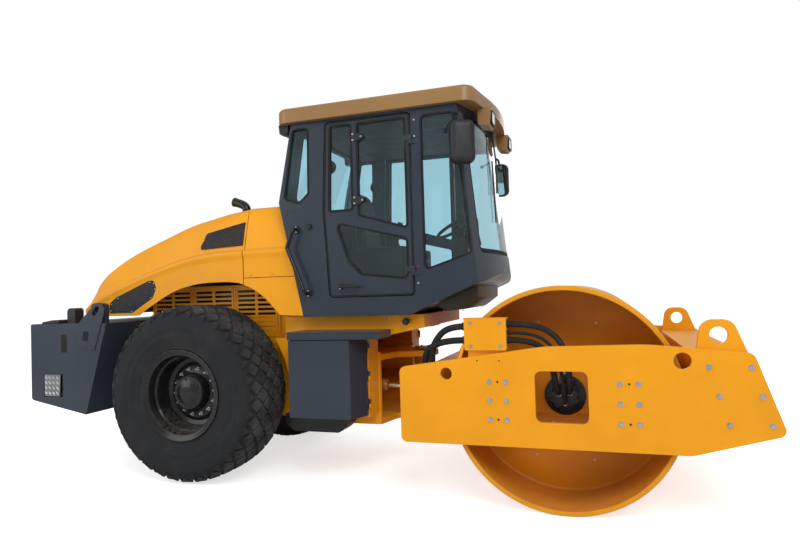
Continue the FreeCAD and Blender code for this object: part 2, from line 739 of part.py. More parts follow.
def make_chassis():
    s = size
    inner = s.rail_face - s.rail_thick
    pieces = []
    rail = [
        (s.rail_front, s.rail_low), (s.rail_front, 1070), (s.rail_front - 440, s.rail_top),
        (weight_face(s.rail_top), s.rail_top), (weight_face(900), 900),
        (s.axle_x - 385, s.rail_belly),
        (s.axle_x + 415, s.rail_belly), (-700, s.rail_low)]
    rail.reverse()
    for side, sign in SIDES:
        start, end = outward(sign, inner, s.rail_face)
        pieces.append(pad("Rail_" + side, "side", rail, start, end, (),
                          [(s.axle_x, s.tyre_radius, s.axle_tube)]))
        strip_start, strip_end = outward(sign, s.rail_face - 5, s.strip_face)
        pieces.append(block("Strip_" + side, s.rail_front - 40, strip_start, s.box_low - 18, 25,
                            strip_end - strip_start, s.rail_top - s.box_low + 18))
    for word, low in (("Upper", s.hub_high), ("Lower", s.hub_low - s.fork_thick)):
        pieces.append(pad("Fork" + word, "top", [
            (-440, -s.rail_face), (s.rail_front, -s.rail_face), (s.rail_front + 60, -230, 60),
            (s.pivot_x + s.fork_radius, -s.fork_radius, s.fork_radius - 2),
            (s.pivot_x + s.fork_radius, s.fork_radius, s.fork_radius - 2),
            (s.rail_front + 60, 230, 60), (s.rail_front, s.rail_face),
            (-440, s.rail_face)], low, low + s.fork_thick))
    pieces.append(bar("SteeringPin", "Z", s.pivot_x, 0, s.hub_low - s.fork_thick - 10,
                      s.hub_high - s.hub_low + s.fork_thick * 2 + 20, s.pin_radius))
    for word, x, low, high in (("Front", -440, s.rail_low, 1050), ("Mid", -900, 700, s.rail_top),
                               ("Rear", -2200, 950, s.rail_top)):
        pieces.append(block("Wall" + word, x, -inner - 1, low, 30, inner * 2 + 2, high - low))
    for side, sign in SIDES:
        y = s.eye_side * sign
        for word, low in (("Top", s.eye_z + s.eye_thick / 2 + 2),
                          ("Low", s.eye_z - s.eye_thick / 2 - 22)):
            pieces.append(block("Clevis%s_%s" % (word, side), s.barrel_x - 60, y - 45, low,
                                105, 90, 20))
        pieces.append(bar("BasePin_" + side, "Z", s.barrel_x, y, s.eye_z - 42, 84, 20))
        pieces.extend(box_hinges(side, sign)[1])
    node("chassis", fuse("Chassis", pieces))


def make_side_skirts():
    s = size
    low = s.box_low - 20
    corners = [
        (s.skirt_rear, low), (s.box_front - 20, low), (s.box_front - 20, s.rail_top),
        (s.skirt_rear - 145, s.rail_top), (s.skirt_rear - 45, 1000, 300), (s.skirt_rear, 760, 300)]
    room = [(s.skirt_rear + 50, low + 50), (s.box_front - 60, low + 50),
            (s.box_front - 60, 1080), (s.skirt_rear + 50, 1080)]
    pieces = []
    for side, sign in SIDES:
        start, end = outward(sign, s.rail_face, s.skirt_face)
        pieces.append(pad("Skirt_" + side, "side", corners, start, end, [room]))
    node("side_frames", gather("SideFrames", pieces))


def make_cab_deck():
    s = size
    wide = pad("DeckWide", "side", [
        (s.deck_step, s.rail_top), (s.rail_front + 35, s.rail_top), (s.deck_front, 1291),
        (s.deck_front, s.deck_top), (s.deck_step, s.deck_top)], -s.deck_half, s.deck_half)
    narrow = block("DeckNarrow", s.deck_rear, -s.rail_face, s.rail_top, s.deck_step - s.deck_rear,
                   s.rail_face * 2, s.deck_top - s.rail_top)
    node("cab_deck", fuse("CabDeck", [wide, narrow]))


def make_under_tray():
    s = size
    corners = [(s.skirt_rear - 30, s.box_low - 20), (s.skirt_rear - 30, 470, 60),
               (s.skirt_rear + 60, 410, 60), (-120, 410, 60), (-40, 470, 60),
               (-40, s.box_low - 20)]
    pieces = []
    for side, sign in SIDES:
        start, end = outward(sign, s.rail_face, s.skirt_face + 60)
        pieces.append(pad("Tray_" + side, "side", corners, start, end))
    node("under_trays", gather("UnderTrays", pieces))


def make_counterweight():
    s = size
    side_view = pad("WeightSide", "side", [
        (s.weight_rear, s.weight_rear_low, 30), (s.weight_foot_x, s.weight_front_low),
        (s.weight_front_x, s.weight_top), (s.weight_rear, s.weight_top, 20)],
        -s.weight_half, s.weight_half)
    step = block("StepRight", -2930, -s.weight_half - 1, 715, 230, 61, 215)
    step_left = block("StepLeft", -2930, s.weight_half - 60, 715, 230, 61, 215)
    body = cut("WeightStepped", side_view, fuse("WeightSteps", [step, step_left]))
    pieces = [body]
    for side, sign in SIDES:
        start, end = outward(sign, Size(393, "(393)"), Size(433, "(433)"))
        pieces.append(block("HoodBracket_" + side, s.hood_hinge_x - 15, start, s.weight_top - 1,
                            30, 40, s.hood_hinge_z - s.weight_top + 19))
        start, end = outward(sign, Size(328, "(328)"), Size(433, "(433)"))
        pieces.append(bar("HoodPin_" + side, "Y", s.hood_hinge_x, start, s.hood_hinge_z, 105,
                          s.hood_pin))
    node("counterweight", fuse("Counterweight", pieces))


def make_axle():
    s = size
    tube = bar("AxleTube", "Y", s.axle_x, -(s.rail_face + 40), s.tyre_radius,
               (s.rail_face + 40) * 2, s.axle_tube)
    ball = turned("AxleBall", [(-210, 60), (-210, 150), (-120, 235), (120, 235), (210, 150),
                               (210, 60)], s.axle_x, 0, s.tyre_radius)
    stub = bar("AxleStub", "Y", s.axle_x, -(s.tyre_outer - 140), s.tyre_radius,
               (s.tyre_outer - 140) * 2, s.axle_stub)
    node("rear_axle", fuse("RearAxle", [tube, ball, stub]))


def make_engine():
    s = size
    node("engine_block", block("Engine", -2180, -330, s.rail_top, 1060, 660, 560))


def make_grille_panels():
    s = size
    pieces = []
    for side, sign in SIDES:
        start, end = outward(sign, s.rail_face, s.rail_face + s.grille_thick)
        blank = pad("GrilleBlank_" + side, "side", [
            (s.grille_rear, s.rail_top - 60), (s.grille_front, s.rail_top - 60),
            (s.grille_front, s.grille_top), (s.grille_rear, s.grille_top)], start, end)
        slots = []
        for panel in range(3):
            for column in range(2):
                for line in range(9):
                    x = number(s.grille_rear) + 40 + panel * 465 + column * 212
                    z = number(s.rail_top) + 80 + line * 42
                    slots.append(Part.makeBox(185, number(s.grille_thick) + 2, 22,
                                              FreeCAD.Vector(x, number(start) - 1, z)))
        pieces.append(cut("Grille_" + side, blank,
                          feature("GrilleSlots_" + side, Part.makeCompound(slots))))
    node("side_grilles", gather("SideGrilles", pieces))


# Tyres and rims


def make_wheels():
    s = size
    half = s.tyre_width / 2
    for side, sign in SIDES:
        middle = (s.tyre_outer - half) * sign
        tyre = turned("Tyre_" + side, [
            (-half + s.bead_inset, s.rim_seat + 15), (-half + s.bead_inset, s.rim_radius + 5),
            (-half, 455, 60), (-half, 690, 70), (-half + 70, s.tyre_radius - 12, 40),
            (0, s.tyre_radius), (half - 70, s.tyre_radius - 12, 40), (half, 690, 70),
            (half, 455, 60), (half - s.bead_inset, s.rim_radius + 5),
            (half - s.bead_inset, s.rim_seat + 15)],
            s.axle_x, middle, s.tyre_radius)
        node("tyre_" + side, tyre)
        seat = s.rim_seat
        wall = s.rim_wall
        disc_near = -20
        hub_face = 150
        points = [
            (-(half - 22), seat - wall), (-(half - 22), s.rim_radius), (-(half - 40), s.rim_radius),
            (-(half - 40), seat + 14.7), (half - 40, seat + 14.7), (half - 40, s.rim_radius),
            (half - 22, s.rim_radius), (half - 22, seat - wall), (10, seat - wall), (10, 230),
            (50, 215), (50, s.rim_hub), (hub_face, s.rim_hub - 12), (hub_face, 20),
            (disc_near - 180, 20), (disc_near - 180, s.axle_stub + 30),
            (disc_near, s.axle_stub + 60), (disc_near, seat - wall),
        ]
        if sign > 0:
            mirrored = points
        else:
            mirrored = [(-1 * p[0], p[1]) for p in reversed(points)]
        rim = turned("RimBlank_" + side, mirrored, s.axle_x, middle, s.tyre_radius)
        reach_start, reach_end = outward(sign, s.tyre_outer - half - 250, s.tyre_outer - 140 + 5)
        bore = bar("RimBore_" + side, "Y", s.axle_x, reach_start, s.tyre_radius,
                   reach_end - reach_start, s.axle_stub + s.shaft_gap)
        node("rim_" + side, cut("Rim_" + side, rim, bore))


# Hood


# Sections of the hood from rear to front: X, lower edge, crease height, top height at the
# shoulder, half width at the crease, half width at the shoulder.
WIDE = 900
HOOD_SECTIONS = [
    (-2935, 1440, 1500, 1560, 560, 470),
    (-2830, 1440, 1530, 1690, 700, 560),
    (-2600, 1440, 1640, 1845, 780, 640),
    (-2250, 1440, 1770, 2015, 780, 655),
    (-1900, 1440, 1880, 2160, 780, 660),
    (-1500, 1440, 1960, 2285, 780, 660),
    (-975, 1440, 1990, 2375, 780, 660),
]
COLLAR_SECTIONS = [
    (-965, 1405, 1990, 2380, 780, 660),
    (-380, 1405, 1990, 2398, 780, 660),
]


def hood_ring(x, low, crease, top, half, shoulder, inset):
    """One closed section of the hood, drawn in by the wall where inset is set."""
    crown = top + 35 - inset
    points = [
        (half - inset, low - inset), (half - inset, crease - inset / 3),
        (shoulder - inset / 2, top - inset), (shoulder / 2, crown),
        (-shoulder / 2, crown), (-(shoulder - inset / 2), top - inset),
        (-(half - inset), crease - inset / 3), (-(half - inset), low - inset)]
    spots = [FreeCAD.Vector(x, y, z) for y, z in points]
    return Part.makePolygon(spots + spots[:1])


def hood_solid(sections, inset, extend):
    rings = []
    for index, row in enumerate(sections):
        x = row[0]
        if index == 0:
            x = x + extend[0]
        if index == len(sections) - 1:
            x = x + extend[1]
        rings.append(hood_ring(x, row[1], row[2], row[3], row[4], row[5], inset))
    return Part.makeLoft(rings, True, True)


def make_hood():
    s = size
    wall = number(s.hood_wall)
    outer = feature("HoodOuter", hood_solid(HOOD_SECTIONS, 0, (0, 0)))
    inner = feature("HoodInner", hood_solid(HOOD_SECTIONS, wall, (wall, wall)))
    shell = cut("HoodShell", outer, inner)
    arch = pad("HoodArch", "side", [
        (-2190, 1400), (-1992, 1520, 60), (-1750, 1655, 200), (s.arch_x, s.arch_top + 12, 420),
        (-950, 1700, 200), (-700, 1400)], -900, Size(900, "(900)"))
    upper = [(-1450, 2030, 20), (-995, 2046), (-995, 2262), (-1400, 2180, 30)]
    lower = [(-2470, 1465, 20), (-2200, 1465, 30), (-1960, 1600, 50), (-1915, 1690, 30),
             (-1940, 1765, 30), (-2000, 1765, 30), (-2380, 1620, 30), (-2460, 1560, 20)]
    openings = [pad("HoodOpeningUpper", "side", upper, -900, Size(900, "(900)")),
                pad("HoodOpeningLower", "side", lower, -900, Size(900, "(900)"))]
    stack = bar("StackHole", "Z", s.exhaust_x, s.exhaust_y, 2200, 300,
                s.exhaust_radius + s.seat_gap)
    body = [cut("HoodPanel", shell, fuse("HoodCuts", [arch, stack] + openings))]
    for side, sign in SIDES:
        start, end = outward(sign, Size(330, "(330)"), Size(390, "(390)"))
        ring = bar("HoodRing_" + side, "Y", s.hood_hinge_x, start, s.hood_hinge_z, 60,
                   s.hood_pin + 14)
        web = pad("HoodWeb_" + side, "side", [
            (s.hood_hinge_x - 36, s.hood_hinge_z), (s.hood_hinge_x, s.hood_hinge_z),
            (s.hood_hinge_x, s.hood_hinge_z + 26), (s.hood_hinge_x - 36, s.hood_hinge_z + 26)],
            start, end)
        body.append(cut("HoodEye_" + side, fuse("HoodEyeBlank_" + side, [ring, web]), bar(
            "HoodEyeBore_" + side, "Y", s.hood_hinge_x, start - 5, s.hood_hinge_z, 70,
            s.hood_pin + s.shaft_gap)))
    node("hood", fuse("Hood", body))
    skin = feature("MeshSkin", hood_solid(HOOD_SECTIONS, wall - 1, (wall, wall)))
    skin_inner = feature("MeshSkinInner", hood_solid(HOOD_SECTIONS, wall + 3, (wall, wall)))
    sheet_metal = cut("MeshSheet", skin, skin_inner)
    prisms = []
    for word, corners in (("Upper", upper), ("Lower", lower)):
        prisms.append(pad("MeshPrism" + word, "side", corners, -900, Size(900, "(900)")))
    node("hood_grilles", common("HoodGrilles", sheet_metal, fuse("MeshPrisms", prisms)))


def make_collar():
    s = size
    wall = number(s.hood_wall)
    outer = feature("CollarOuter", hood_solid(COLLAR_SECTIONS, 0, (0, 0)))
    inner = feature("CollarInner", hood_solid(COLLAR_SECTIONS, wall, (-5, 5)))
    shell = cut("CollarShell", outer, inner)
    wide = Size(WIDE, "(%d)" % WIDE)
    slope = (s.cab_rear_mid - s.cab_rear) / (s.cab_knee - s.cab_floor)
    gap = s.seat_gap * 1.1
    slant = pad("CollarSlant", "side", [
        (s.cab_rear - gap, s.cab_floor), (0, s.cab_floor), (0, 2600),
        (s.cab_rear - gap + slope * (2600 - s.cab_floor), 2600)], -wide, wide)
    arch = pad("CollarArch", "side", [
        (-1100, s.cab_floor), (-690, s.cab_floor), (-770, 1560, 100), (-950, 1690),
        (-1100, 1700)], -wide, wide)
    node("hood_collar", cut("HoodCollar", shell, fuse("CollarCuts", [slant, arch])))


def make_exhaust():
    s = size
    x = number(s.exhaust_x)
    y = number(s.exhaust_y)
    route = [(x, y, 2250), (x, y, 2455), (x - 135, y, 2520)]
    node("exhaust", feature("Exhaust", bent_bar(route, s.exhaust_radius, 62)))


# Cab


def cab_side_corners(inset):
    s = size
    return [
        (s.cab_rear + inset, s.cab_floor + inset), (550 - inset / 2, s.cab_floor + inset),
        (s.cab_front - 60 - inset, 1661 + inset), (s.cab_front + 10, 1723 + inset),
        (s.cab_front + 10, s.cab_top), (s.cab_rear_top + inset, s.cab_top),
        (s.cab_rear_mid + inset, s.cab_knee)]


def cab_plan(inset, forward):
    """The cab's outline from above, with a bowed front, as a shape that leans back."""
    s = size
    low = number(s.cab_floor) - 10
    rise = number(s.cab_top) + 10 - low
    side = number(s.cab_side) - inset
    bow = number(s.cab_front) - inset + forward
    post = number(s.cab_front_side) - inset + forward
    rear = -700
    arc = Part.Arc(FreeCAD.Vector(post, -side, low), FreeCAD.Vector(bow, 0, low),
                   FreeCAD.Vector(post, side, low)).toShape()
    lines = Part.makePolygon([FreeCAD.Vector(post, side, low), FreeCAD.Vector(rear, side, low),
                              FreeCAD.Vector(rear, -side, low), FreeCAD.Vector(post, -side, low)])
    face = Part.Face(Part.Wire([arc] + lines.Edges))
    lean = number(s.screen_lean) * rise / (number(s.cab_top) - 1838)
    return face.extrude(FreeCAD.Vector(-lean, 0, rise))


def door_corners(inset):
    s = size
    return [
        (s.door_rear + 40 + inset, s.door_low + inset, 40),
        (s.door_front - inset, s.door_low + inset, 40),
        (s.door_front - inset, s.door_high - inset, 40),
        (s.door_rear + 35 + inset, s.door_high - inset, 40),
        (s.door_rear + inset, 2300, 700)]


def front_window_corners(inset):
    return [(705 + inset, 1760 + inset, 30), (1085 - inset, 1880 + inset, 30),
            (975 - inset, 3000 - inset, 40), (705 + inset, 3000 - inset, 40)]


def rear_quarter_corners(inset):
    return [(-540 + inset, 2420 + inset, 30), (-400, 2375 + inset, 30), (-310 - inset, 2450, 30),
            (-300 - inset, 3010 - inset, 30), (-445 + inset, 3010 - inset, 30)]


def make_cab():
    s = size
    wide = Size(WIDE, "(%d)" % WIDE)
    outer = common("CabOuter", pad("CabSideView", "side", cab_side_corners(0), -wide, wide),
                   feature("CabPlan", cab_plan(0, 50)))
    inner = common("CabInner",
                   pad("CabInnerView", "side", [
                       (s.cab_rear + 45, s.cab_floor + 45), (530, s.cab_floor + 45),
                       (s.cab_front - 100, 1700), (s.cab_front + 10, 1760),
                       (s.cab_front + 10, s.cab_top + 1), (s.cab_rear_top + 40, s.cab_top + 1),
                       (s.cab_rear_mid + 45, s.cab_knee)], -wide, wide),
                   feature("CabInnerPlan", cab_plan(45, 50)))
    cuts = []
    cuts.append(pad("DoorOpenings", "side", door_corners(0), -wide, wide))
    cuts.append(pad("FrontSideWindows", "side", front_window_corners(0), -wide, wide))
    cuts.append(pad("RearQuarterWindows", "side", rear_quarter_corners(0), -wide, wide))
    cuts.append(pad("ScreenOpening", "front", [
        (-690, 1880, 60), (690, 1880, 60), (690, 3010, 40), (-690, 3010, 40)], 800,
        Size(1400, "(1400)")))
    cuts.append(pad("RearWindow", "front", [
        (-560, 2440, 40), (560, 2440, 40), (560, 3000, 40), (-560, 3000, 40)],
        -700, Size(-250, "(-250)")))
    shell = cut("CabShell", outer, inner)
    pieces = [cut("CabPanels", shell, fuse("CabOpenings", cuts))]
    for side, sign in SIDES:
        pieces.extend(door_hinges(side, sign)[1])
    node("cab_frame", fuse("CabFrame", pieces))


DOOR_HINGES = {}


def door_hinges(side, sign):
    """The two hinges of a cab door, made once: the door's halves and the cab's halves."""
    s = size
    if side not in DOOR_HINGES:
        face = s.cab_side
        moving = [(s.door_hinge_x - 60, face), (s.door_hinge_x - 5, face),
                  (s.door_hinge_x, face + 8), (s.door_hinge_x - 12, face + 10),
                  (s.door_hinge_x - 60, face + 7)]
        fixed = [(s.door_hinge_x + 8, face), (s.door_hinge_x + 60, face),
                 (s.door_hinge_x + 60, face + 7), (s.door_hinge_x + 12, face + 10),
                 (s.door_hinge_x, face + 8)]
        DOOR_HINGES[side] = hinge_pair(
            "DoorHinge_%s_" % side, s.door_hinge_x, s.door_hinge_y * sign, s.door_hinge_pin,
            s.shaft_gap, (1720, 2780), mirrored(moving, sign), mirrored(fixed, sign))
    return DOOR_HINGES[side]


def make_cab_glass():
    s = size
    gap = number(s.seat_gap)
    wide = Size(WIDE, "(%d)" % WIDE)
    skin = cut("GlassSkin", feature("GlassOuter", cab_plan(12, 50)),
               feature("GlassInner", cab_plan(18, 50)))
    screen = common("ScreenPane", skin, pad("ScreenShape", "front", [
        (-690 + gap, 1880 + gap, 60), (690 - gap, 1880 + gap, 60), (690 - gap, 3010 - gap, 40),
        (-690 + gap, 3010 - gap, 40)], 800, Size(1400, "(1400)")))
    node("windscreen", screen)
    panes = []
    for side, sign in SIDES:
        start, end = outward(sign, s.cab_side - 18, s.cab_side - 18 + s.pane_thick)
        panes.append(pad("FrontPane_" + side, "side", front_window_corners(gap), start, end))
        panes.append(pad("QuarterPane_" + side, "side", rear_quarter_corners(gap), start, end))
    rear_slope = (s.cab_rear_top - s.cab_rear_mid) / (s.cab_top - s.cab_knee)
    low_x = s.cab_rear_mid + rear_slope * (2430 - s.cab_knee) + 14
    high_x = s.cab_rear_mid + rear_slope * (3010 - s.cab_knee) + 14
    slab = pad("RearPaneSlab", "side", [
        (low_x, 2430), (low_x + s.pane_thick, 2430), (high_x + s.pane_thick, 3010),
        (high_x, 3010)], -wide, wide)
    panes.append(common("RearPane", slab, pad("RearPaneShape", "front", [
        (-560 + gap, 2440 + gap, 40), (560 - gap, 2440 + gap, 40), (560 - gap, 3000 - gap, 40),
        (-560 + gap, 3000 - gap, 40)], -700, Size(-250, "(-250)"))))
    node("cab_side_glass", gather("CabSideGlass", panes))


def make_doors():
    s = size
    gap = s.door_gap
    for side, sign in SIDES:
        start, end = outward(sign, s.cab_side - s.cab_wall, s.cab_side)
        rear_pane = [(-118, 2285, 20), (95, 2285, 20), (95, 3000, 20), (-95, 3000, 20)]
        front_pane = [(150, 2235, 20), (568, 2110, 20), (568, 3000, 20), (150, 3000, 20)]
        low_pane = [(-60, 2180, 30), (50, 1850, 60), (160, 1745, 40), (562, 1700, 40),
                    (562, 2020, 40)]
        leaf = pad("DoorLeaf_" + side, "side", door_corners(gap), start, end,
                   [rear_pane, front_pane, low_pane])
        node("cab_door_" + side,
             fuse("CabDoor_" + side, [leaf] + door_hinges(side, sign)[0]))
        panes = []
        start, end = outward(sign, s.cab_side - 18, s.cab_side - 18 + s.pane_thick)
        for word, corners in (("Rear", rear_pane), ("Front", front_pane), ("Low", low_pane)):
            panes.append(pad("DoorPane%s_%s" % (word, side), "side", corners, start, end))
        node("door_glass_" + side, gather("DoorGlass_" + side, panes))


def make_roof():
    s = size
    plan = pad("RoofPlan", "top", [
        (s.roof_rear, -s.roof_half, 110), (s.roof_front - 130, -s.roof_half, 110),
        (s.roof_front, 0, 2500), (s.roof_front - 130, s.roof_half, 110),
        (s.roof_rear, s.roof_half, 110)], s.roof_low, s.roof_high)
    edge = plan.newObject("PartDesign::Fillet", "RoofEdge")
    doc.recompute()
    tip = [f for f in plan.Group if f.TypeId == "PartDesign::Pad"][0]
    top = number(s.roof_high)
    names = ["Edge%d" % (i + 1) for i, e in enumerate(tip.Shape.Edges)
             if abs(e.BoundBox.ZMin - top) < 0.01 and abs(e.BoundBox.ZMax - top) < 0.01]
    edge.Base = (tip, names)
    edge.Radius = 35
    plan.Tip = edge
    node("cab_roof", plan)


def make_roof_lamps():
    s = size
    pieces = []
    for word, x, y in (("FrontRight", s.roof_front - 135, -470), ("FrontLeft", s.roof_front - 135, 470)):
        pieces.append(pad("Lamp" + word, "side", [
            (x, 2930, 20), (x + 95, 2915, 20), (x + 110, s.roof_low), (x - 5, s.roof_low)],
            Size(y - 90, "(%d)" % (y - 90)), y + 90))
    node("roof_lamps", gather("RoofLamps", pieces))
    rear = []
    for word, y in (("Right", -700), ("Left", 700)):
        rear.append(pad("RearRoofLamp" + word, "side", [
            (s.roof_rear + 15, 2985, 25), (s.roof_rear + 90, 2985, 25),
            (s.roof_rear + 100, s.roof_low), (s.roof_rear + 5, s.roof_low)],
            Size(y - 70, "(%d)" % (y - 70)), y + 70))
    node("rear_roof_lamps", gather("RearRoofLamps", rear))


def make_seat():
    s = size
    base = pad("SeatBase", "side", [(20, s.cab_floor + 45), (420, s.cab_floor + 45),
                                    (380, 1800), (40, 1800)], -180, Size(180, "(180)"))
    node("seat_base", base)
    cushion = pad("SeatCushion", "side", [
        (-20, 1800.3, 30), (470, 1800.3, 40), (500, 1930, 40), (60, 1910, 40),
        (-40, 2560, 40), (-160, 2540, 50)], -250, Size(250, "(250)"))
    node("seat_cushion", cushion)


def toe_board(x):
    """Height of the sloping floor in front of the driver."""
    s = size
    start_x = 530
    slope = (1700 - (s.cab_floor + 45)) / (s.cab_front - 100 - start_x)
    return s.cab_floor + 45 + (x - start_x) * slope


def make_steering_column():
    s = size
    post = pad("ColumnPost", "side", [(790, toe_board(790)), (930, toe_board(930)),
                                      (900, 2060), (800, 2060)], -90, Size(90, "(90)"))
    ring = doc.addObject("Part::Torus", "WheelRing")
    ring.Radius1 = 190
    ring.Radius2 = 15
    ring.Placement = FreeCAD.Placement(FreeCAD.Vector(790, 0, 2170), FreeCAD.Rotation(Y_AXIS, -28))
    hub = doc.addObject("Part::Cylinder", "WheelHub")
    hub.Radius = 35
    hub.Height = 160
    hub.Placement = FreeCAD.Placement(FreeCAD.Vector(855, 0, 2030), FreeCAD.Rotation(Y_AXIS, -28))
    spoke = doc.addObject("Part::Box", "WheelSpoke")
    spoke.Length = 30
    spoke.Width = 380
    spoke.Height = 12
    spoke.Placement = FreeCAD.Placement(FreeCAD.Vector(778, -190, 2162), FreeCAD.Rotation(Y_AXIS, -28))
    node("steering_column", fuse("SteeringColumn", [post, ring, hub, spoke]))


def make_mirrors():
    s = size
    for side, sign in SIDES:
        y = 900 * sign
        arm = bent_bar([(985, number(s.cab_side) * sign, 2960), (985, 865 * sign, 2960),
                        (1068, y, 2940), (1068, y, 2800)], 11, 20)
        glass_start, glass_end = outward(sign, Size(815, "(815)"), Size(985, "(985)"))
        head = pad("MirrorHead_" + side, "front", [
            (glass_start, 2545, 40), (glass_end, 2545, 40), (glass_end, 2893, 40),
            (glass_start, 2893, 40)], 1045, Size(1090, "(1090)"))
        node("mirror_" + side, fuse("Mirror_" + side, [feature("MirrorArm_" + side, arm), head]))


def make_grab_rails():
    pieces = []
    for side, sign in SIDES:
        near = number(size.cab_side) * sign
        out = 850 * sign
        pieces.append(feature("GrabRail_" + side, bent_bar([
            (-430, near, 2150), (-430, out, 2150), (-490, out, 1990), (-330, out, 1600),
            (-330, near, 1600)], 16, 35)))
    node("grab_rails", gather("GrabRails", pieces))


# Side boxes


BOX_HINGES = {}


def box_hinges(side, sign):
    """The three hinges of a box door, made once: the door's halves and the frame's halves."""
    s = size
    if side not in BOX_HINGES:
        front = s.rail_front - 15
        moving = [(s.box_front - 5, s.box_hinge_y), (s.box_hinge_x, s.box_hinge_y),
                  (s.box_hinge_x, s.box_hinge_y + 7), (s.box_front + 5, s.box_hinge_y + 12),
                  (s.box_front + 5, s.box_hinge_y + 27), (s.box_front - 5, s.box_hinge_y + 27)]
        fixed = [(front - 5, s.strip_face - 40), (front + 5, s.strip_face - 40),
                 (front + 5, s.strip_face - 3), (s.box_hinge_x + 4, s.box_hinge_y - 5),
                 (s.box_hinge_x, s.box_hinge_y), (front + 2, s.strip_face + 2),
                 (front - 5, s.strip_face - 3)]
        BOX_HINGES[side] = hinge_pair(
            "BoxHinge_%s_" % side, s.box_hinge_x, s.box_hinge_y * sign, s.box_hinge_pin,
            s.shaft_gap, (640, 870, 1100), mirrored(moving, sign), mirrored(fixed, sign))
    return BOX_HINGES[side]


def make_boxes():
    s = size
    bodies = []
    for side, sign in SIDES:
        start, end = outward(sign, s.skirt_face, s.box_face - s.box_sheet - 6)
        case = pad("BoxCase_" + side, "side", [
            (s.box_rear, s.box_low), (s.box_front - 110, s.box_low), (s.box_front - 110, s.box_high),
            (s.box_rear, s.box_high)], start, end)
        room_start, room_end = outward(sign, s.skirt_face + 15, s.box_face)
        room = pad("BoxRoom_" + side, "side", [
            (s.box_rear + 15, s.box_low + 15), (s.box_front - 125, s.box_low + 15),
            (s.box_front - 125, s.box_high - 15), (s.box_rear + 15, s.box_high - 15)],
            room_start, room_end)
        lid_start, lid_end = outward(sign, s.skirt_face, s.box_face + 10)
        lid = block("Lid_" + side, s.lid_rear, lid_start, s.box_high, s.lid_front - s.lid_rear,
                    lid_end - lid_start, s.lid_thick)
        node("storage_box_" + side,
             fuse("StorageBox_" + side, [cut("BoxShell_" + side, case, room), lid]))
        near = s.box_face - s.box_sheet
        face = [(s.box_rear - 170, near), (s.box_rear - 170, s.box_face),
                (s.box_front - 70, s.box_face), (s.box_front, s.strip_face + 40),
                (s.box_front, s.strip_face + 12), (s.box_front - 14, s.strip_face + 12),
                (s.box_front - 14, s.strip_face + 34), (s.box_front - 80, near)]
        if sign < 0:
            face = [(x, -y) for x, y in face]
        else:
            face = list(reversed(face))
        leaf = pad("BoxDoorLeaf_" + side, "top", face, s.box_low, s.box_high - 7)
        node("box_door_" + side, fuse("BoxDoor_" + side, [leaf] + box_hinges(side, sign)[0]))


def make_rear_lugs():
    s = size
    pieces = []
    for side, sign in SIDES:
        start, end = outward(sign, Size(1030, "(1030)"), Size(1070, "(1070)"))
        pieces.append(pad("RearLug_" + side, "side", [
            (-2400, s.weight_top), (-2222, s.weight_top), (-2215, 1570, 40), (-2385, 1570, 40)],
            start, end, (), [(-2304, 1500, 38)]))
    node("tie_down_lugs", gather("TieDownLugs", pieces))
    lamps = []
    for side, sign in SIDES:
        start, end = outward(sign, Size(900, "(900)"), Size(1000, "(1000)"))
        lamps.append(pad("RearLamp_" + side, "side", [
            (-2745, s.weight_top), (-2650, s.weight_top), (-2650, 1530, 30), (-2745, 1530, 40)],
            start, end))
    node("rear_lamps", gather("RearLamps", lamps))


def write_parts():
    doc.recompute()
    for item in doc.Objects:
        if "Invalid" in item.State or "Error" in item.State:
            raise RuntimeError("%s (%s) failed: %s" % (item.Name, item.Label, item.State))
    os.makedirs("parts", exist_ok=True)
    for item in nodes:
        shape = item.Shape
        if shape.isNull() or not shape.isValid() or not shape.Solids:
            raise RuntimeError("%s has no valid solid" % item.Label)
        shape.exportStep("parts/%s.step" % item.Label)
        box = shape.BoundBox
        print("%-20s solids %2d  X %6.0f %6.0f  Y %6.0f %6.0f  Z %6.0f %6.0f" % (
            item.Label, len(shape.Solids), box.XMin, box.XMax, box.YMin, box.YMax,
            box.ZMin, box.ZMax))


make_drum()
make_side_plates()
make_cross_beams()
make_lifting_ears()
make_drum_mounts()
make_drum_motors()
make_hose_box()
make_scrapers()
make_hoses()
make_knuckle()
make_steering_cylinders()
make_chassis()
make_side_skirts()
make_cab_deck()
make_under_tray()
make_counterweight()
make_axle()
make_engine()
make_grille_panels()
make_wheels()
make_hood()
make_collar()
make_exhaust()
make_cab()
make_cab_glass()
make_doors()
make_roof()
make_roof_lamps()
make_seat()
make_steering_column()
make_mirrors()
make_grab_rails()
make_boxes()
make_rear_lugs()
write_parts()
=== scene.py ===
"""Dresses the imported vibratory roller: tyres, drum, hood, glass, hoses, fastenings and paint."""

import math

import bmesh
import bpy
from bpy.props import FloatProperty, FloatVectorProperty, IntProperty, PointerProperty
from mathutils import Matrix, Vector


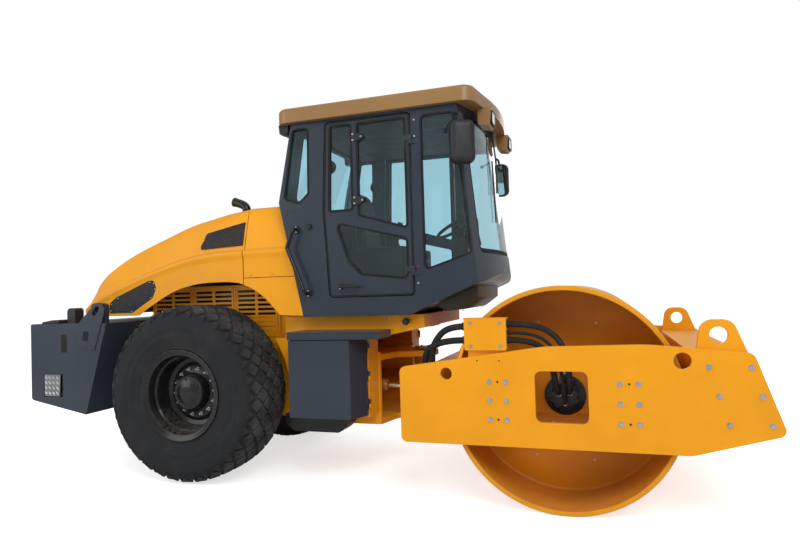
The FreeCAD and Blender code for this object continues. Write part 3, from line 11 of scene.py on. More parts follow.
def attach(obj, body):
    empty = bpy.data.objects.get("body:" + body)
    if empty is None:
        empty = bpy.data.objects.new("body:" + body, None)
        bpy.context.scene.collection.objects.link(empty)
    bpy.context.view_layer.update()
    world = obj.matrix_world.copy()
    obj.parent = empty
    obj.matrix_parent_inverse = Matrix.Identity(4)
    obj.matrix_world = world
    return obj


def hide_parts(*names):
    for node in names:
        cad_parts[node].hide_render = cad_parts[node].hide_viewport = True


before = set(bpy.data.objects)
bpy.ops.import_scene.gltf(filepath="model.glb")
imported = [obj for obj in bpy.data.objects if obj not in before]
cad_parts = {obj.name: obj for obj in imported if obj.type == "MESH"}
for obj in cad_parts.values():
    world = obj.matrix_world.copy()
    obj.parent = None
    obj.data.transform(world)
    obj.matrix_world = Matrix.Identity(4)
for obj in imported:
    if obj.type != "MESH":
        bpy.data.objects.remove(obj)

bl_info = {
    "name": "Vibratory Roller",
    "version": (1, 0, 0),
    "blender": (4, 5, 0),
    "location": "View3D > Sidebar > Roller",
    "description": "Builds the pieces, finishes and stage of an articulated single-drum roller",
    "category": "Object",
}

SIDES = (("right", -1), ("left", 1))
REAR = "rear_frame"
FRONT = "front_frame"

# Places that the pieces share with the solids, in metres.
DRUM_X, DRUM_Z, DRUM_HALF = 1.750, 0.800, 1.065
AXLE_X, AXLE_Z, TYRE_OUTER, TYRE_HALF = -1.415, 0.765, 1.124, 0.285
PLATE_FACE = 1.150
CAB_FACE = 0.780
WEIGHT_FACE = 1.100
MOTOR_Z = DRUM_Z - 0.020
STEER_X = 0.440
STACK_X, STACK_Y = -1.225, -0.300
SHEET = 0.008


class RollerSizes(bpy.types.PropertyGroup):
    """Sizes that change how the roller's pieces are made."""

    tread_depth: FloatProperty(
        name="Tread depth", description="Height of the tyre blocks over the carcass",
        default=0.022, min=0.005, max=0.05, unit="LENGTH")
    tread_pitches: IntProperty(
        name="Tread pitches", description="Blocks in one row round a tyre", default=31, min=16,
        max=48)
    drum_steps: IntProperty(
        name="Drum steps", description="Flats round the drum and the rims", default=144, min=48,
        max=256)
    plate_bolt: FloatProperty(
        name="Plate bolt", description="Radius of the washers on the side plates",
        default=0.019, min=0.008, max=0.05, unit="LENGTH")
    hose_rib: FloatProperty(
        name="Hose rib", description="Distance between two ribs of a hose", default=0.012,
        min=0.004, max=0.03, unit="LENGTH")
    hood_steps: IntProperty(
        name="Hood steps", description="Stations along the hood", default=46, min=12, max=96)


class RollerColours(bpy.types.PropertyGroup):
    """Colours of the roller's finishes."""

    machine: FloatVectorProperty(
        name="Machine paint", description="Frame, hood and drum enamel", subtype="COLOR",
        default=(0.875, 0.355, 0.005), min=0, max=1)
    slate: FloatVectorProperty(
        name="Slate paint", description="Cab, boxes and counterweight enamel", subtype="COLOR",
        default=(0.030, 0.040, 0.058), min=0, max=1)
    roof: FloatVectorProperty(
        name="Roof", description="Moulded roof of the cab", subtype="COLOR",
        default=(0.30, 0.165, 0.060), min=0, max=1)
    black: FloatVectorProperty(
        name="Black enamel", description="Rims, exhaust, motor covers and mesh", subtype="COLOR",
        default=(0.012, 0.012, 0.014), min=0, max=1)
    tyre: FloatVectorProperty(
        name="Tyre rubber", description="Carcass and blocks", subtype="COLOR",
        default=(0.013, 0.014, 0.016), min=0, max=1)
    glass: FloatVectorProperty(
        name="Cab glass", description="Tint of the panes", subtype="COLOR",
        default=(0.56, 0.77, 0.83), min=0, max=1)


# Shader groups


def group_socket(tree, name, way, kind, default=None):
    socket = tree.interface.new_socket(name=name, in_out=way, socket_type=kind)
    if default is not None:
        socket.default_value = default
    return socket


def new_group(name, inputs, outputs):
    """An empty node group with its input and output nodes."""
    tree = bpy.data.node_groups.new(name, "ShaderNodeTree")
    for label, kind, default in inputs:
        group_socket(tree, label, "INPUT", kind, default)
    for label, kind in outputs:
        group_socket(tree, label, "OUTPUT", kind)
    return tree, tree.nodes.new("NodeGroupInput"), tree.nodes.new("NodeGroupOutput")


def noise(tree, vector, scale, detail=3.0, roughness=0.5):
    node = tree.nodes.new("ShaderNodeTexNoise")
    node.inputs["Detail"].default_value = detail
    node.inputs["Roughness"].default_value = roughness
    if hasattr(scale, "is_output"):
        tree.links.new(scale, node.inputs["Scale"])
    else:
        node.inputs["Scale"].default_value = scale
    tree.links.new(vector, node.inputs["Vector"])
    return node.outputs["Fac"]


def math_node(tree, operation, first, second=None, third=None, clamp=False):
    node = tree.nodes.new("ShaderNodeMath")
    node.operation = operation
    node.use_clamp = clamp
    for index, value in enumerate((first, second, third)):
        if value is None:
            continue
        if hasattr(value, "is_output"):
            tree.links.new(value, node.inputs[index])
        else:
            node.inputs[index].default_value = value
    return node.outputs[0]


def band(tree, value, low, high, from_low=0.0, to_high=1.0):
    """Maps a value between two limits to another pair, clamped."""
    node = tree.nodes.new("ShaderNodeMapRange")
    node.clamp = True
    tree.links.new(value, node.inputs["Value"])
    for name, amount in (("From Min", low), ("From Max", high), ("To Min", from_low),
                         ("To Max", to_high)):
        if hasattr(amount, "is_output"):
            tree.links.new(amount, node.inputs[name])
        else:
            node.inputs[name].default_value = amount
    return node.outputs["Result"]


def blend_colour(tree, factor, first, second, mode="MIX"):
    node = tree.nodes.new("ShaderNodeMix")
    node.data_type = "RGBA"
    node.blend_type = mode
    for name, value in (("Factor", factor), ("A", first), ("B", second)):
        socket = [s for s in node.inputs if s.name == name and s.enabled][0]
        if hasattr(value, "is_output"):
            tree.links.new(value, socket)
        elif isinstance(value, (int, float)):
            socket.default_value = value
        else:
            socket.default_value = (*value, 1.0)
    return [s for s in node.outputs if s.enabled][0]


def bump(tree, height, strength, distance, normal=None):
    node = tree.nodes.new("ShaderNodeBump")
    node.inputs["Strength"].default_value = strength
    node.inputs["Distance"].default_value = distance
    tree.links.new(height, node.inputs["Height"])
    if normal is not None:
        tree.links.new(normal, node.inputs["Normal"])
    return node.outputs["Normal"]


def place_of(tree):
    """Coordinates that move with the piece."""
    return tree.nodes.new("ShaderNodeTexCoord").outputs["Object"]


def soft_edge_group():
    """Rounded highlights on sharp corners and a mask of where paint rubs off."""
    if "Soft edges" in bpy.data.node_groups:
        return bpy.data.node_groups["Soft edges"]
    tree, given, result = new_group(
        "Soft edges", [("Radius", "NodeSocketFloat", 0.006)],
        [("Normal", "NodeSocketVector"), ("Edge", "NodeSocketFloat")])
    round_off = tree.nodes.new("ShaderNodeBevel")
    round_off.samples = 4
    tree.links.new(given.outputs["Radius"], round_off.inputs["Radius"])
    flat = tree.nodes.new("ShaderNodeNewGeometry")
    dot = tree.nodes.new("ShaderNodeVectorMath")
    dot.operation = "DOT_PRODUCT"
    tree.links.new(round_off.outputs["Normal"], dot.inputs[0])
    tree.links.new(flat.outputs["Normal"], dot.inputs[1])
    tree.links.new(band(tree, dot.outputs["Value"], 0.98, 0.80), result.inputs["Edge"])
    tree.links.new(round_off.outputs["Normal"], result.inputs["Normal"])
    return tree


def enamel_group():
    """Sprayed enamel: fade in patches, dust on what faces up, rubbed corners, orange peel."""
    if "Sprayed enamel" in bpy.data.node_groups:
        return bpy.data.node_groups["Sprayed enamel"]
    tree, given, result = new_group(
        "Sprayed enamel",
        [("Colour", "NodeSocketColor", (0.8, 0.8, 0.8, 1)),
         ("Fade", "NodeSocketFloat", 0.10), ("Dust", "NodeSocketFloat", 0.25),
         ("Wear", "NodeSocketFloat", 0.35), ("Gloss", "NodeSocketFloat", 0.35)],
        [("Colour", "NodeSocketColor"), ("Roughness", "NodeSocketFloat"),
         ("Normal", "NodeSocketVector")])
    where = place_of(tree)
    patches = noise(tree, where, 1.7, 4.0)
    fine = noise(tree, where, 38.0, 2.0)
    grain = noise(tree, where, 260.0, 2.0)
    lift = band(tree, patches, 0.3, 0.7, -1.0, 1.0)
    fade = math_node(tree, "MULTIPLY", lift, given.outputs["Fade"])
    bright = math_node(tree, "ADD", fade, 1.0)
    shade = tree.nodes.new("ShaderNodeVectorMath")
    shade.operation = "SCALE"
    tree.links.new(given.outputs["Colour"], shade.inputs[0])
    tree.links.new(bright, shade.inputs["Scale"])
    edges = tree.nodes.new("ShaderNodeGroup")
    edges.node_tree = soft_edge_group()
    worn = math_node(tree, "MULTIPLY", edges.outputs["Edge"], band(tree, fine, 0.42, 0.62))
    worn = math_node(tree, "MULTIPLY", worn, given.outputs["Wear"])
    paint = blend_colour(tree, worn, shade.outputs["Vector"], (0.62, 0.56, 0.48))
    up = tree.nodes.new("ShaderNodeSeparateXYZ")
    tree.links.new(tree.nodes.new("ShaderNodeNewGeometry").outputs["Normal"], up.inputs[0])
    lying = math_node(tree, "MULTIPLY", band(tree, up.outputs["Z"], 0.35, 1.0),
                      band(tree, fine, 0.30, 0.75))
    lying = math_node(tree, "MULTIPLY", lying, given.outputs["Dust"])
    dusty = blend_colour(tree, lying, paint, (0.50, 0.44, 0.36))
    tree.links.new(dusty, result.inputs["Colour"])
    uneven = band(tree, patches, 0.3, 0.7, -0.06, 0.06)
    rough = math_node(tree, "ADD", uneven, given.outputs["Gloss"])
    rough = math_node(tree, "MULTIPLY_ADD", lying, 0.4, rough, clamp=True)
    tree.links.new(rough, result.inputs["Roughness"])
    peel = bump(tree, grain, 0.10, 0.0006, edges.outputs["Normal"])
    tree.links.new(peel, result.inputs["Normal"])
    return tree


def rubber_group():
    """Rubber: dusty grain, with the blocks rubbed paler than the grooves by a mask."""
    if "Dusty rubber" in bpy.data.node_groups:
        return bpy.data.node_groups["Dusty rubber"]
    tree, given, result = new_group(
        "Dusty rubber",
        [("Colour", "NodeSocketColor", (0.03, 0.03, 0.03, 1)), ("Rubbed", "NodeSocketFloat", 0.0),
         ("Dust", "NodeSocketFloat", 0.3)],
        [("Colour", "NodeSocketColor"), ("Roughness", "NodeSocketFloat"),
         ("Normal", "NodeSocketVector")])
    where = place_of(tree)
    patches = noise(tree, where, 6.0, 4.0)
    grain = noise(tree, where, 160.0, 4.0, 0.6)
    rubbed = math_node(tree, "MULTIPLY", given.outputs["Rubbed"], band(tree, patches, 0.25, 0.6))
    paler = blend_colour(tree, rubbed, given.outputs["Colour"], (0.060, 0.061, 0.063))
    dust = math_node(tree, "MULTIPLY", band(tree, patches, 0.5, 0.75), given.outputs["Dust"])
    dusty = blend_colour(tree, dust, paler, (0.15, 0.135, 0.115))
    tree.links.new(dusty, result.inputs["Colour"])
    tree.links.new(band(tree, grain, 0.3, 0.7, 0.62, 0.85), result.inputs["Roughness"])
    tree.links.new(bump(tree, grain, 0.35, 0.0015), result.inputs["Normal"])
    return tree


# Materials


def principled(name):
    """A new material with its tree and shader, or an earlier one of that name with neither."""
    if name in bpy.data.materials:
        return bpy.data.materials[name], None, None
    material = bpy.data.materials.new(name)
    material.use_nodes = True
    tree = material.node_tree
    return material, tree, tree.nodes["Principled BSDF"]


def take_finish(tree, group, shader):
    """Links a finish group's colour, roughness and normal to the shader."""
    for given, taken in (("Colour", "Base Color"), ("Roughness", "Roughness"),
                         ("Normal", "Normal")):
        tree.links.new(group.outputs[given], shader.inputs[taken])


def enamel(name, colour, gloss=0.34, fade=0.07, dust=0.18, wear=0.30, coat=0.25):
    material, tree, shader = principled(name)
    if tree is None:
        return material
    group = tree.nodes.new("ShaderNodeGroup")
    group.node_tree = enamel_group()
    group.inputs["Colour"].default_value = (*colour, 1)
    group.inputs["Gloss"].default_value = gloss
    group.inputs["Fade"].default_value = fade
    group.inputs["Dust"].default_value = dust
    group.inputs["Wear"].default_value = wear
    take_finish(tree, group, shader)
    shader.inputs["Coat Weight"].default_value = coat
    shader.inputs["Coat Roughness"].default_value = 0.15
    shader.inputs["Specular IOR Level"].default_value = 0.24
    return material


def rubber(name, colour, rubbed=False, dust=0.3):
    """Rubber. rubbed brings out the tops of tyre blocks by their distance from the axle."""
    material, tree, shader = principled(name)
    if tree is None:
        return material
    group = tree.nodes.new("ShaderNodeGroup")
    group.node_tree = rubber_group()
    group.inputs["Colour"].default_value = (*colour, 1)
    group.inputs["Dust"].default_value = dust
    if rubbed:
        parts = tree.nodes.new("ShaderNodeSeparateXYZ")
        tree.links.new(place_of(tree), parts.inputs[0])
        along = math_node(tree, "SUBTRACT", parts.outputs["X"], AXLE_X)
        high = math_node(tree, "SUBTRACT", parts.outputs["Z"], AXLE_Z)
        square = math_node(tree, "ADD", math_node(tree, "MULTIPLY", along, along),
                           math_node(tree, "MULTIPLY", high, high))
        radius = math_node(tree, "SQRT", square)
        tree.links.new(band(tree, radius, 0.700, 0.752), group.inputs["Rubbed"])
    take_finish(tree, group, shader)
    shader.inputs["Specular IOR Level"].default_value = 0.3
    return material


def bare_metal(name, colour, roughness, scratch=0.25):
    """Plated or polished steel with fine scratches."""
    material, tree, shader = principled(name)
    if tree is None:
        return material
    where = place_of(tree)
    streaks = noise(tree, where, 90.0, 5.0, 0.65)
    stains = noise(tree, where, 14.0, 3.0)
    tone = blend_colour(tree, band(tree, stains, 0.45, 0.75, 0.0, 0.5), colour,
                        tuple(c * 0.62 for c in colour))
    tree.links.new(tone, shader.inputs["Base Color"])
    tree.links.new(band(tree, streaks, 0.3, 0.7, roughness, roughness + scratch),
                   shader.inputs["Roughness"])
    tree.links.new(bump(tree, streaks, 0.12, 0.0005), shader.inputs["Normal"])
    shader.inputs["Metallic"].default_value = 1.0
    return material


def plastic(name, colour, roughness, grain_scale=420.0, strength=0.22):
    """Moulded plastic with a fine leathery grain and faint handling marks."""
    material, tree, shader = principled(name)
    if tree is None:
        return material
    where = place_of(tree)
    cells = tree.nodes.new("ShaderNodeTexVoronoi")
    cells.inputs["Scale"].default_value = grain_scale
    tree.links.new(where, cells.inputs["Vector"])
    marks = noise(tree, where, 9.0, 4.0)
    tone = blend_colour(tree, band(tree, marks, 0.4, 0.7, 0.0, 0.35), colour,
                        tuple(min(1.0, c * 1.6 + 0.01) for c in colour))
    tree.links.new(tone, shader.inputs["Base Color"])
    tree.links.new(band(tree, marks, 0.3, 0.7, roughness - 0.05, roughness + 0.12),
                   shader.inputs["Roughness"])
    tree.links.new(bump(tree, cells.outputs["Distance"], strength, 0.0004),
                   shader.inputs["Normal"])
    return material


def pane(name, colour, film=0.04):
    """Tinted glass with a thin film of dust."""
    material, tree, shader = principled(name)
    if tree is None:
        return material
    film_mask = noise(tree, place_of(tree), 3.0, 5.0)
    tone = blend_colour(tree, band(tree, film_mask, 0.45, 0.8, 0.0, 0.35), colour,
                        tuple(c * 0.93 for c in colour))
    tree.links.new(tone, shader.inputs["Base Color"])
    tree.links.new(band(tree, film_mask, 0.4, 0.8, 0.0, film), shader.inputs["Roughness"])
    shader.inputs["Transmission Weight"].default_value = 1.0
    shader.inputs["IOR"].default_value = 1.45
    return material


def perforated(name, colour, pitch=0.021, hole=0.33):
    """Black sheet with round holes in staggered rows, cut through its alpha."""
    material, tree, shader = principled(name)
    if tree is None:
        return material
    parts = tree.nodes.new("ShaderNodeSeparateXYZ")
    tree.links.new(place_of(tree), parts.inputs[0])
    line = math_node(tree, "DIVIDE", parts.outputs["Z"], pitch * 0.866)
    shift = math_node(tree, "MULTIPLY", math_node(tree, "MODULO", math_node(
        tree, "FLOOR", line), 2.0), 0.5)
    column = math_node(tree, "ADD", math_node(tree, "DIVIDE", parts.outputs["X"], pitch), shift)
    across = math_node(tree, "SUBTRACT", math_node(tree, "FRACT", column), 0.5)
    upward = math_node(tree, "SUBTRACT", math_node(tree, "FRACT", line), 0.5)
    reach = math_node(tree, "SQRT", math_node(tree, "ADD", math_node(
        tree, "MULTIPLY", across, across), math_node(tree, "MULTIPLY", upward, upward)))
    solid = band(tree, reach, hole - 0.03, hole + 0.03)
    tree.links.new(solid, shader.inputs["Alpha"])
    specks = noise(tree, place_of(tree), 40.0, 3.0)
    tree.links.new(blend_colour(tree, band(tree, specks, 0.5, 0.8, 0.0, 0.4), colour,
                                (0.05, 0.048, 0.045)), shader.inputs["Base Color"])
    tree.links.new(band(tree, specks, 0.3, 0.7, 0.35, 0.55), shader.inputs["Roughness"])
    return material


def woven(name, colour):
    """Seat cloth: crossing threads with a soft sheen."""
    material, tree, shader = principled(name)
    if tree is None:
        return material
    where = place_of(tree)
    threads = []
    for direction in ("X", "Y"):
        wave = tree.nodes.new("ShaderNodeTexWave")
        wave.bands_direction = direction
        wave.inputs["Scale"].default_value = 160.0
        wave.inputs["Distortion"].default_value = 0.6
        tree.links.new(where, wave.inputs["Vector"])
        threads.append(wave.outputs["Fac"])
    weave = math_node(tree, "MULTIPLY", threads[0], threads[1])
    tree.links.new(blend_colour(tree, weave, colour, tuple(c * 2.2 for c in colour)),
                   shader.inputs["Base Color"])
    tree.links.new(band(tree, weave, 0.0, 1.0, 0.75, 0.92), shader.inputs["Roughness"])
    tree.links.new(bump(tree, weave, 0.4, 0.0008), shader.inputs["Normal"])
    shader.inputs["Sheen Weight"].default_value = 0.3
    return material


def glow(name, colour, roughness=0.15):
    """A ribbed lamp lens."""
    material, tree, shader = principled(name)
    if tree is None:
        return material
    ribs = tree.nodes.new("ShaderNodeTexWave")
    ribs.inputs["Scale"].default_value = 55.0
    tree.links.new(place_of(tree), ribs.inputs["Vector"])
    tree.links.new(blend_colour(tree, ribs.outputs["Fac"], colour,
                                tuple(c * 0.7 for c in colour)), shader.inputs["Base Color"])
    tree.links.new(band(tree, ribs.outputs["Fac"], 0.0, 1.0, roughness, roughness + 0.1),
                   shader.inputs["Roughness"])
    tree.links.new(bump(tree, ribs.outputs["Fac"], 0.5, 0.002), shader.inputs["Normal"])
    return material


def finishes():
    """Every finish of the roller by its name."""
    colours = bpy.context.scene.roller_colours
    machine = tuple(colours.machine)
    slate = tuple(colours.slate)
    black = tuple(colours.black)
    return {
        "machine": enamel("Machine enamel", machine, gloss=0.42, coat=0.06),
        "drum": enamel("Drum enamel", tuple(c * 0.86 for c in machine), gloss=0.45, fade=0.14,
                       dust=0.35, wear=0.5),
        # Darker copy of the machine paint for the drum's inside, its end discs and the parts behind
        # the drum: painted shade.
        "drum_shaded": enamel("Drum enamel in painted shade", (machine[0] * 0.80, machine[1] * 0.70, 0.004),
                              gloss=0.42, fade=0.18, dust=0.2, wear=0.3, coat=0.1),
        # Darker copy of the machine paint for the joint, the steering barrels and the pin caps:
        # painted shade.
        "joint": enamel("Joint enamel in painted shade", (machine[0] * 0.50, machine[1] * 0.42, 0.006), gloss=0.4,
                        fade=0.2, dust=0.25, wear=0.4, coat=0.1),
        "slate": enamel("Slate enamel", slate, gloss=0.32, fade=0.10, dust=0.10, wear=0.18,
                        coat=0.2),
        "black": enamel("Black enamel", black, gloss=0.30, fade=0.2, dust=0.2, wear=0.2),
        "roof": enamel("Roof gel coat", tuple(colours.roof), gloss=0.38, fade=0.06, dust=0.25,
                       wear=0.05, coat=0.3),
        "mesh": perforated("Perforated sheet", black),
        "moulding": plastic("Black moulding", (0.008, 0.009, 0.011), 0.5),
        "olive": enamel("Olive moulding", (0.070, 0.070, 0.045), gloss=0.42, fade=0.15, dust=0.2,
                        wear=0.1, coat=0.1),
        "seal": rubber("Window seal", (0.010, 0.010, 0.011), dust=0.1),
        "hose": rubber("Hose rubber", (0.014, 0.014, 0.015), dust=0.15),
        "tyre": rubber("Tyre rubber", tuple(colours.tyre), rubbed=True, dust=0.07),
        "chrome": bare_metal("Chromed rod", (0.80, 0.81, 0.83), 0.10, 0.08),
        "zinc": bare_metal("Zinc plating", (0.52, 0.53, 0.54), 0.22),
        "checker": bare_metal("Checker plate", (0.26, 0.27, 0.28), 0.40, 0.3),
        "glass": pane("Cab glass", tuple(colours.glass)),
        "cloth": woven("Seat cloth", (0.016, 0.016, 0.019)),
        "lens": glow("Lamp lens", (0.80, 0.82, 0.84)),
        "red_lens": glow("Red lens", (0.42, 0.010, 0.008)),
        "mirror": bare_metal("Mirror face", (0.85, 0.87, 0.88), 0.02, 0.02),
    }


# Building


def to_space(plane, u, v, w):
    """A flat outline's point in space. side is X and Z, top X and Y, front Y and Z."""
    if plane == "side":
        return Vector((u, w, v))
    if plane == "top":
        return Vector((u, v, w))
    return Vector((w, u, v))


def rounded(corners, steps=5):
    """An outline whose corners (u, v, radius) become arcs."""
    points = []
    count = len(corners)
    for i, corner in enumerate(corners):
        here = Vector(corner[:2])
        if len(corner) < 3 or corner[2] <= 0:
            points.append(here)
            continue
        back = (Vector(corners[i - 1][:2]) - here).normalized()
        ahead = (Vector(corners[(i + 1) % count][:2]) - here).normalized()
        half = back.angle(ahead) / 2
        reach = corner[2] / math.tan(half)
        middle = here + (back + ahead).normalized() * (corner[2] / math.sin(half))
        start = here + back * reach - middle
        end = here + ahead * reach - middle
        turn = start.angle_signed(end)
        for step in range(steps + 1):
            angle = -turn * step / steps
            points.append(middle + Vector((
                start.x * math.cos(angle) - start.y * math.sin(angle),
                start.x * math.sin(angle) + start.y * math.cos(angle))))
    return points


def rectangle(left, low, right, high, radius, steps=5):
    """A rectangle with round corners."""
    return rounded([(left, low, radius), (right, low, radius), (right, high, radius),
                    (left, high, radius)], steps)


def angles(count, start=0.0):
    """Evenly spaced angles round a circle, from a start in degrees."""
    return [math.radians(start + 360 * i / count) for i in range(count)]


def about_axis(x, z, radius, angle, y):
    """The point at an angle round an axis along Y that passes through x and z."""
    return (x + radius * math.cos(angle), y, z + radius * math.sin(angle))


def frame_of(out):
    """Two directions across a given one."""
    out = Vector(out).normalized()
    side = out.cross(Vector((0, 0, 1)))
    if side.length < 0.1:
        side = out.cross(Vector((1, 0, 0)))
    side.normalize()
    return out, side, out.cross(side).normalized()


class Shape:
    """Gathers the faces of one piece."""

    def __init__(self):
        self.mesh = bmesh.new()

    def ring(self, points):
        return [self.mesh.verts.new(p) for p in points]

    def circle(self, middle, side, other, radius, count, turn=0.0):
        """A ring of points round a middle, in the plane of two directions."""
        return self.ring([
            middle + side * (radius * math.cos(2 * math.pi * i / count + turn))
            + other * (radius * math.sin(2 * math.pi * i / count + turn))
            for i in range(count)])

    def skin(self, first, second, slot=0, closed=True):
        """Faces between two rings of as many points."""
        count = len(first)
        for i in range(count if closed else count - 1):
            j = (i + 1) % count
            corners = [first[i], first[j], second[j], second[i]]
            kept = []
            for vert in corners:
                if vert not in kept:
                    kept.append(vert)
            if len(kept) > 2:
                self.mesh.faces.new(kept).material_index = slot

    def cap(self, ring, slot=0):
        self.mesh.faces.new(ring).material_index = slot

    def closed_stack(self, rings, slot=0):
        """Skins rings in their order and caps both ends."""
        for i in range(len(rings) - 1):
            self.skin(rings[i], rings[i + 1], slot)
        self.cap(rings[0][::-1], slot)
        self.cap(rings[-1], slot)

    def prism(self, plane, outline, start, end, slot=0, chamfer=0.0):
        """A flat outline given a thickness, with its far edge drawn in by the chamfer."""
        base = self.ring([to_space(plane, p[0], p[1], start) for p in outline])
        if chamfer:
            lean = chamfer if end > start else -chamfer
            waist = self.ring([to_space(plane, p[0], p[1], end - lean) for p in outline])
            self.skin(base, waist, slot)
            inner = shrink(outline, chamfer)
            tip = self.ring([to_space(plane, p[0], p[1], end) for p in inner])
            self.skin(waist, tip, slot)
        else:
            tip = self.ring([to_space(plane, p[0], p[1], end) for p in outline])
            self.skin(base, tip, slot)
        self.cap(base[::-1], slot)
        self.cap(tip, slot)

    def band_ring(self, plane, outline, width, start, end, slot=0):
        """A frame of the given width inside an outline."""
        inner = shrink(outline, width)
        rings = []
        for points, level in ((outline, start), (outline, end), (inner, end), (inner, start)):
            rings.append(self.ring([to_space(plane, p[0], p[1], level) for p in points]))
        for i in range(4):
            self.skin(rings[i], rings[(i + 1) % 4], slot)

    def revolve(self, profile, centre, steps, slots=None, closed=False):
        """Turns (along Y, radius) points about an axis along Y through the centre."""
        rings = []
        for along, radius in profile:
            if radius < 1e-6:
                rings.append([self.mesh.verts.new((centre[0], centre[1] + along, centre[2]))]
                             * steps)
                continue
            rings.append(self.ring([
                about_axis(centre[0], centre[2], radius, angle, centre[1] + along)
                for angle in angles(steps)]))
        last = len(rings) if closed else len(rings) - 1
        for i in range(last):
            slot = slots[i] if slots else 0
            self.skin(rings[i], rings[(i + 1) % len(rings)], slot)

    def rod(self, start, end, radius, sides=16, slot=0, taper=1.0):
        """A round bar between two points."""
        start = Vector(start)
        end = Vector(end)
        out, side, other = frame_of(end - start)
        rings = []
        for point, size in ((start, radius), (end, radius * taper)):
            rings.append(self.circle(point, side, other, size, sides))
        self.closed_stack(rings, slot)

    def bolt(self, point, out, radius, slot=0, turn=0.0):
        """A washer, a hexagon head and its rounded top, standing on a surface."""
        point = Vector(point)
        out, side, other = frame_of(out)
        self.rod(point - out * 0.001, point + out * radius * 0.14, radius, 20, slot)
        head = radius * 0.74
        levels = ((0.14, 1.0), (0.62, 1.0), (0.72, 0.86))
        rings = []
        for height, share in levels:
            rings.append(self.circle(point + out * (radius * height), side, other,
                                     head * share, 6, turn))
        self.closed_stack(rings, slot)

    def screw(self, point, out, radius, slot=0):
        """A domed screw head."""
        point = Vector(point)
        out, side, other = frame_of(out)
        rings = []
        for height, share in ((-0.1, 1.0), (0.18, 1.0), (0.42, 0.78), (0.52, 0.40)):
            rings.append(self.circle(point + out * (radius * height), side, other,
                                     radius * share, 12))
        self.closed_stack(rings, slot)

    def tube(self, points, radius, sides=12, slot=0, swell=None):
        """A round tube through points; swell gives each point's share of the radius."""
        points = [Vector(p) for p in points]
        first = (points[1] - points[0]).normalized()
        _, side, _ = frame_of(first)
        rings = []
        for i, point in enumerate(points):
            ahead = points[min(i + 1, len(points) - 1)] - points[max(i - 1, 0)]
            ahead.normalize()
            side = (side - ahead * side.dot(ahead)).normalized()
            other = ahead.cross(side)
            size = radius * (swell[i] if swell else 1.0)
            rings.append(self.circle(point, side, other, size, sides))
        self.closed_stack(rings, slot)

    def soften(self, width, segments=2, angle=35.0):
        """Rounds every edge sharper than the angle."""
        bmesh.ops.remove_doubles(self.mesh, verts=self.mesh.verts, dist=1e-5)
        bmesh.ops.recalc_face_normals(self.mesh, faces=self.mesh.faces)
        sharp = [e for e in self.mesh.edges
                 if len(e.link_faces) == 2 and e.calc_face_angle(0) > math.radians(angle)]
        bmesh.ops.bevel(self.mesh, geom=sharp, offset=width, segments=segments, profile=0.5,
                        affect="EDGES", clamp_overlap=True)

    def become(self, name, materials, body, slot, replaces=(), angle=32.0):
        """The finished object, riding on its body."""
        bmesh.ops.recalc_face_normals(self.mesh, faces=self.mesh.faces)
        data = bpy.data.meshes.new(name)
        self.mesh.to_mesh(data)
        self.mesh.free()
        for material in materials:
            data.materials.append(material)
        data.polygons.foreach_set("use_smooth", [True] * len(data.polygons))
        data.set_sharp_from_angle(angle=math.radians(angle))
        piece = bpy.data.objects.new(name, data)
        bpy.context.scene.collection.objects.link(piece)
        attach(piece, body)
        if replaces:
            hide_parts(*replaces)
        return piece


def shrink(outline, width):
    """The outline moved inwards by a width."""
    points = [Vector(p[:2]) for p in outline]
    count = len(points)
    area = sum(points[i - 1].x * points[i].y - points[i].x * points[i - 1].y
               for i in range(count))
    way = 1.0 if area > 0 else -1.0
    result = []
    for i, here in enumerate(points):
        back = (here - points[i - 1]).normalized()
        ahead = (points[(i + 1) % count] - here).normalized()
        if back.length < 0.5:
            back = ahead
        if ahead.length < 0.5:
            ahead = back
        first = Vector((-back.y, back.x))
        second = Vector((-ahead.y, ahead.x))
        lean = first + second
        if lean.length < 1e-6:
            result.append(here + first * width * way)
            continue
        lean.normalize()
        result.append(here + lean * (width * way / max(0.35, lean.dot(first))))
    return result


def spread(table, at):
    """A smooth curve through a table of (x, value) rows."""
    rows = sorted(table)
    if at <= rows[0][0]:
        return rows[0][1] + (at - rows[0][0]) * (rows[1][1] - rows[0][1]) / (
            rows[1][0] - rows[0][0])
    if at >= rows[-1][0]:
        return rows[-1][1] + (at - rows[-1][0]) * (rows[-1][1] - rows[-2][1]) / (
            rows[-1][0] - rows[-2][0])
    for i in range(len(rows) - 1):
        if at <= rows[i + 1][0]:
            break
    x0, y0 = rows[i]
    x1, y1 = rows[i + 1]
    low = rows[max(i - 1, 0)]
    high = rows[min(i + 2, len(rows) - 1)]
    slope0 = (y1 - low[1]) / (x1 - low[0])
    slope1 = (high[1] - y0) / (high[0] - x0)
    t = (at - x0) / (x1 - x0)
    width = x1 - x0
    return ((2 * t ** 3 - 3 * t ** 2 + 1) * y0 + (t ** 3 - 2 * t ** 2 + t) * width * slope0
            + (-2 * t ** 3 + 3 * t ** 2) * y1 + (t ** 3 - t ** 2) * width * slope1)


def apply_changes(piece):
    """Makes a piece's modifiers part of its mesh."""
    bpy.context.view_layer.update()
    graph = bpy.context.evaluated_depsgraph_get()
    result = bpy.data.meshes.new_from_object(piece.evaluated_get(graph))
    piece.modifiers.clear()
    piece.data = result
    result.set_sharp_from_angle(angle=math.radians(30))


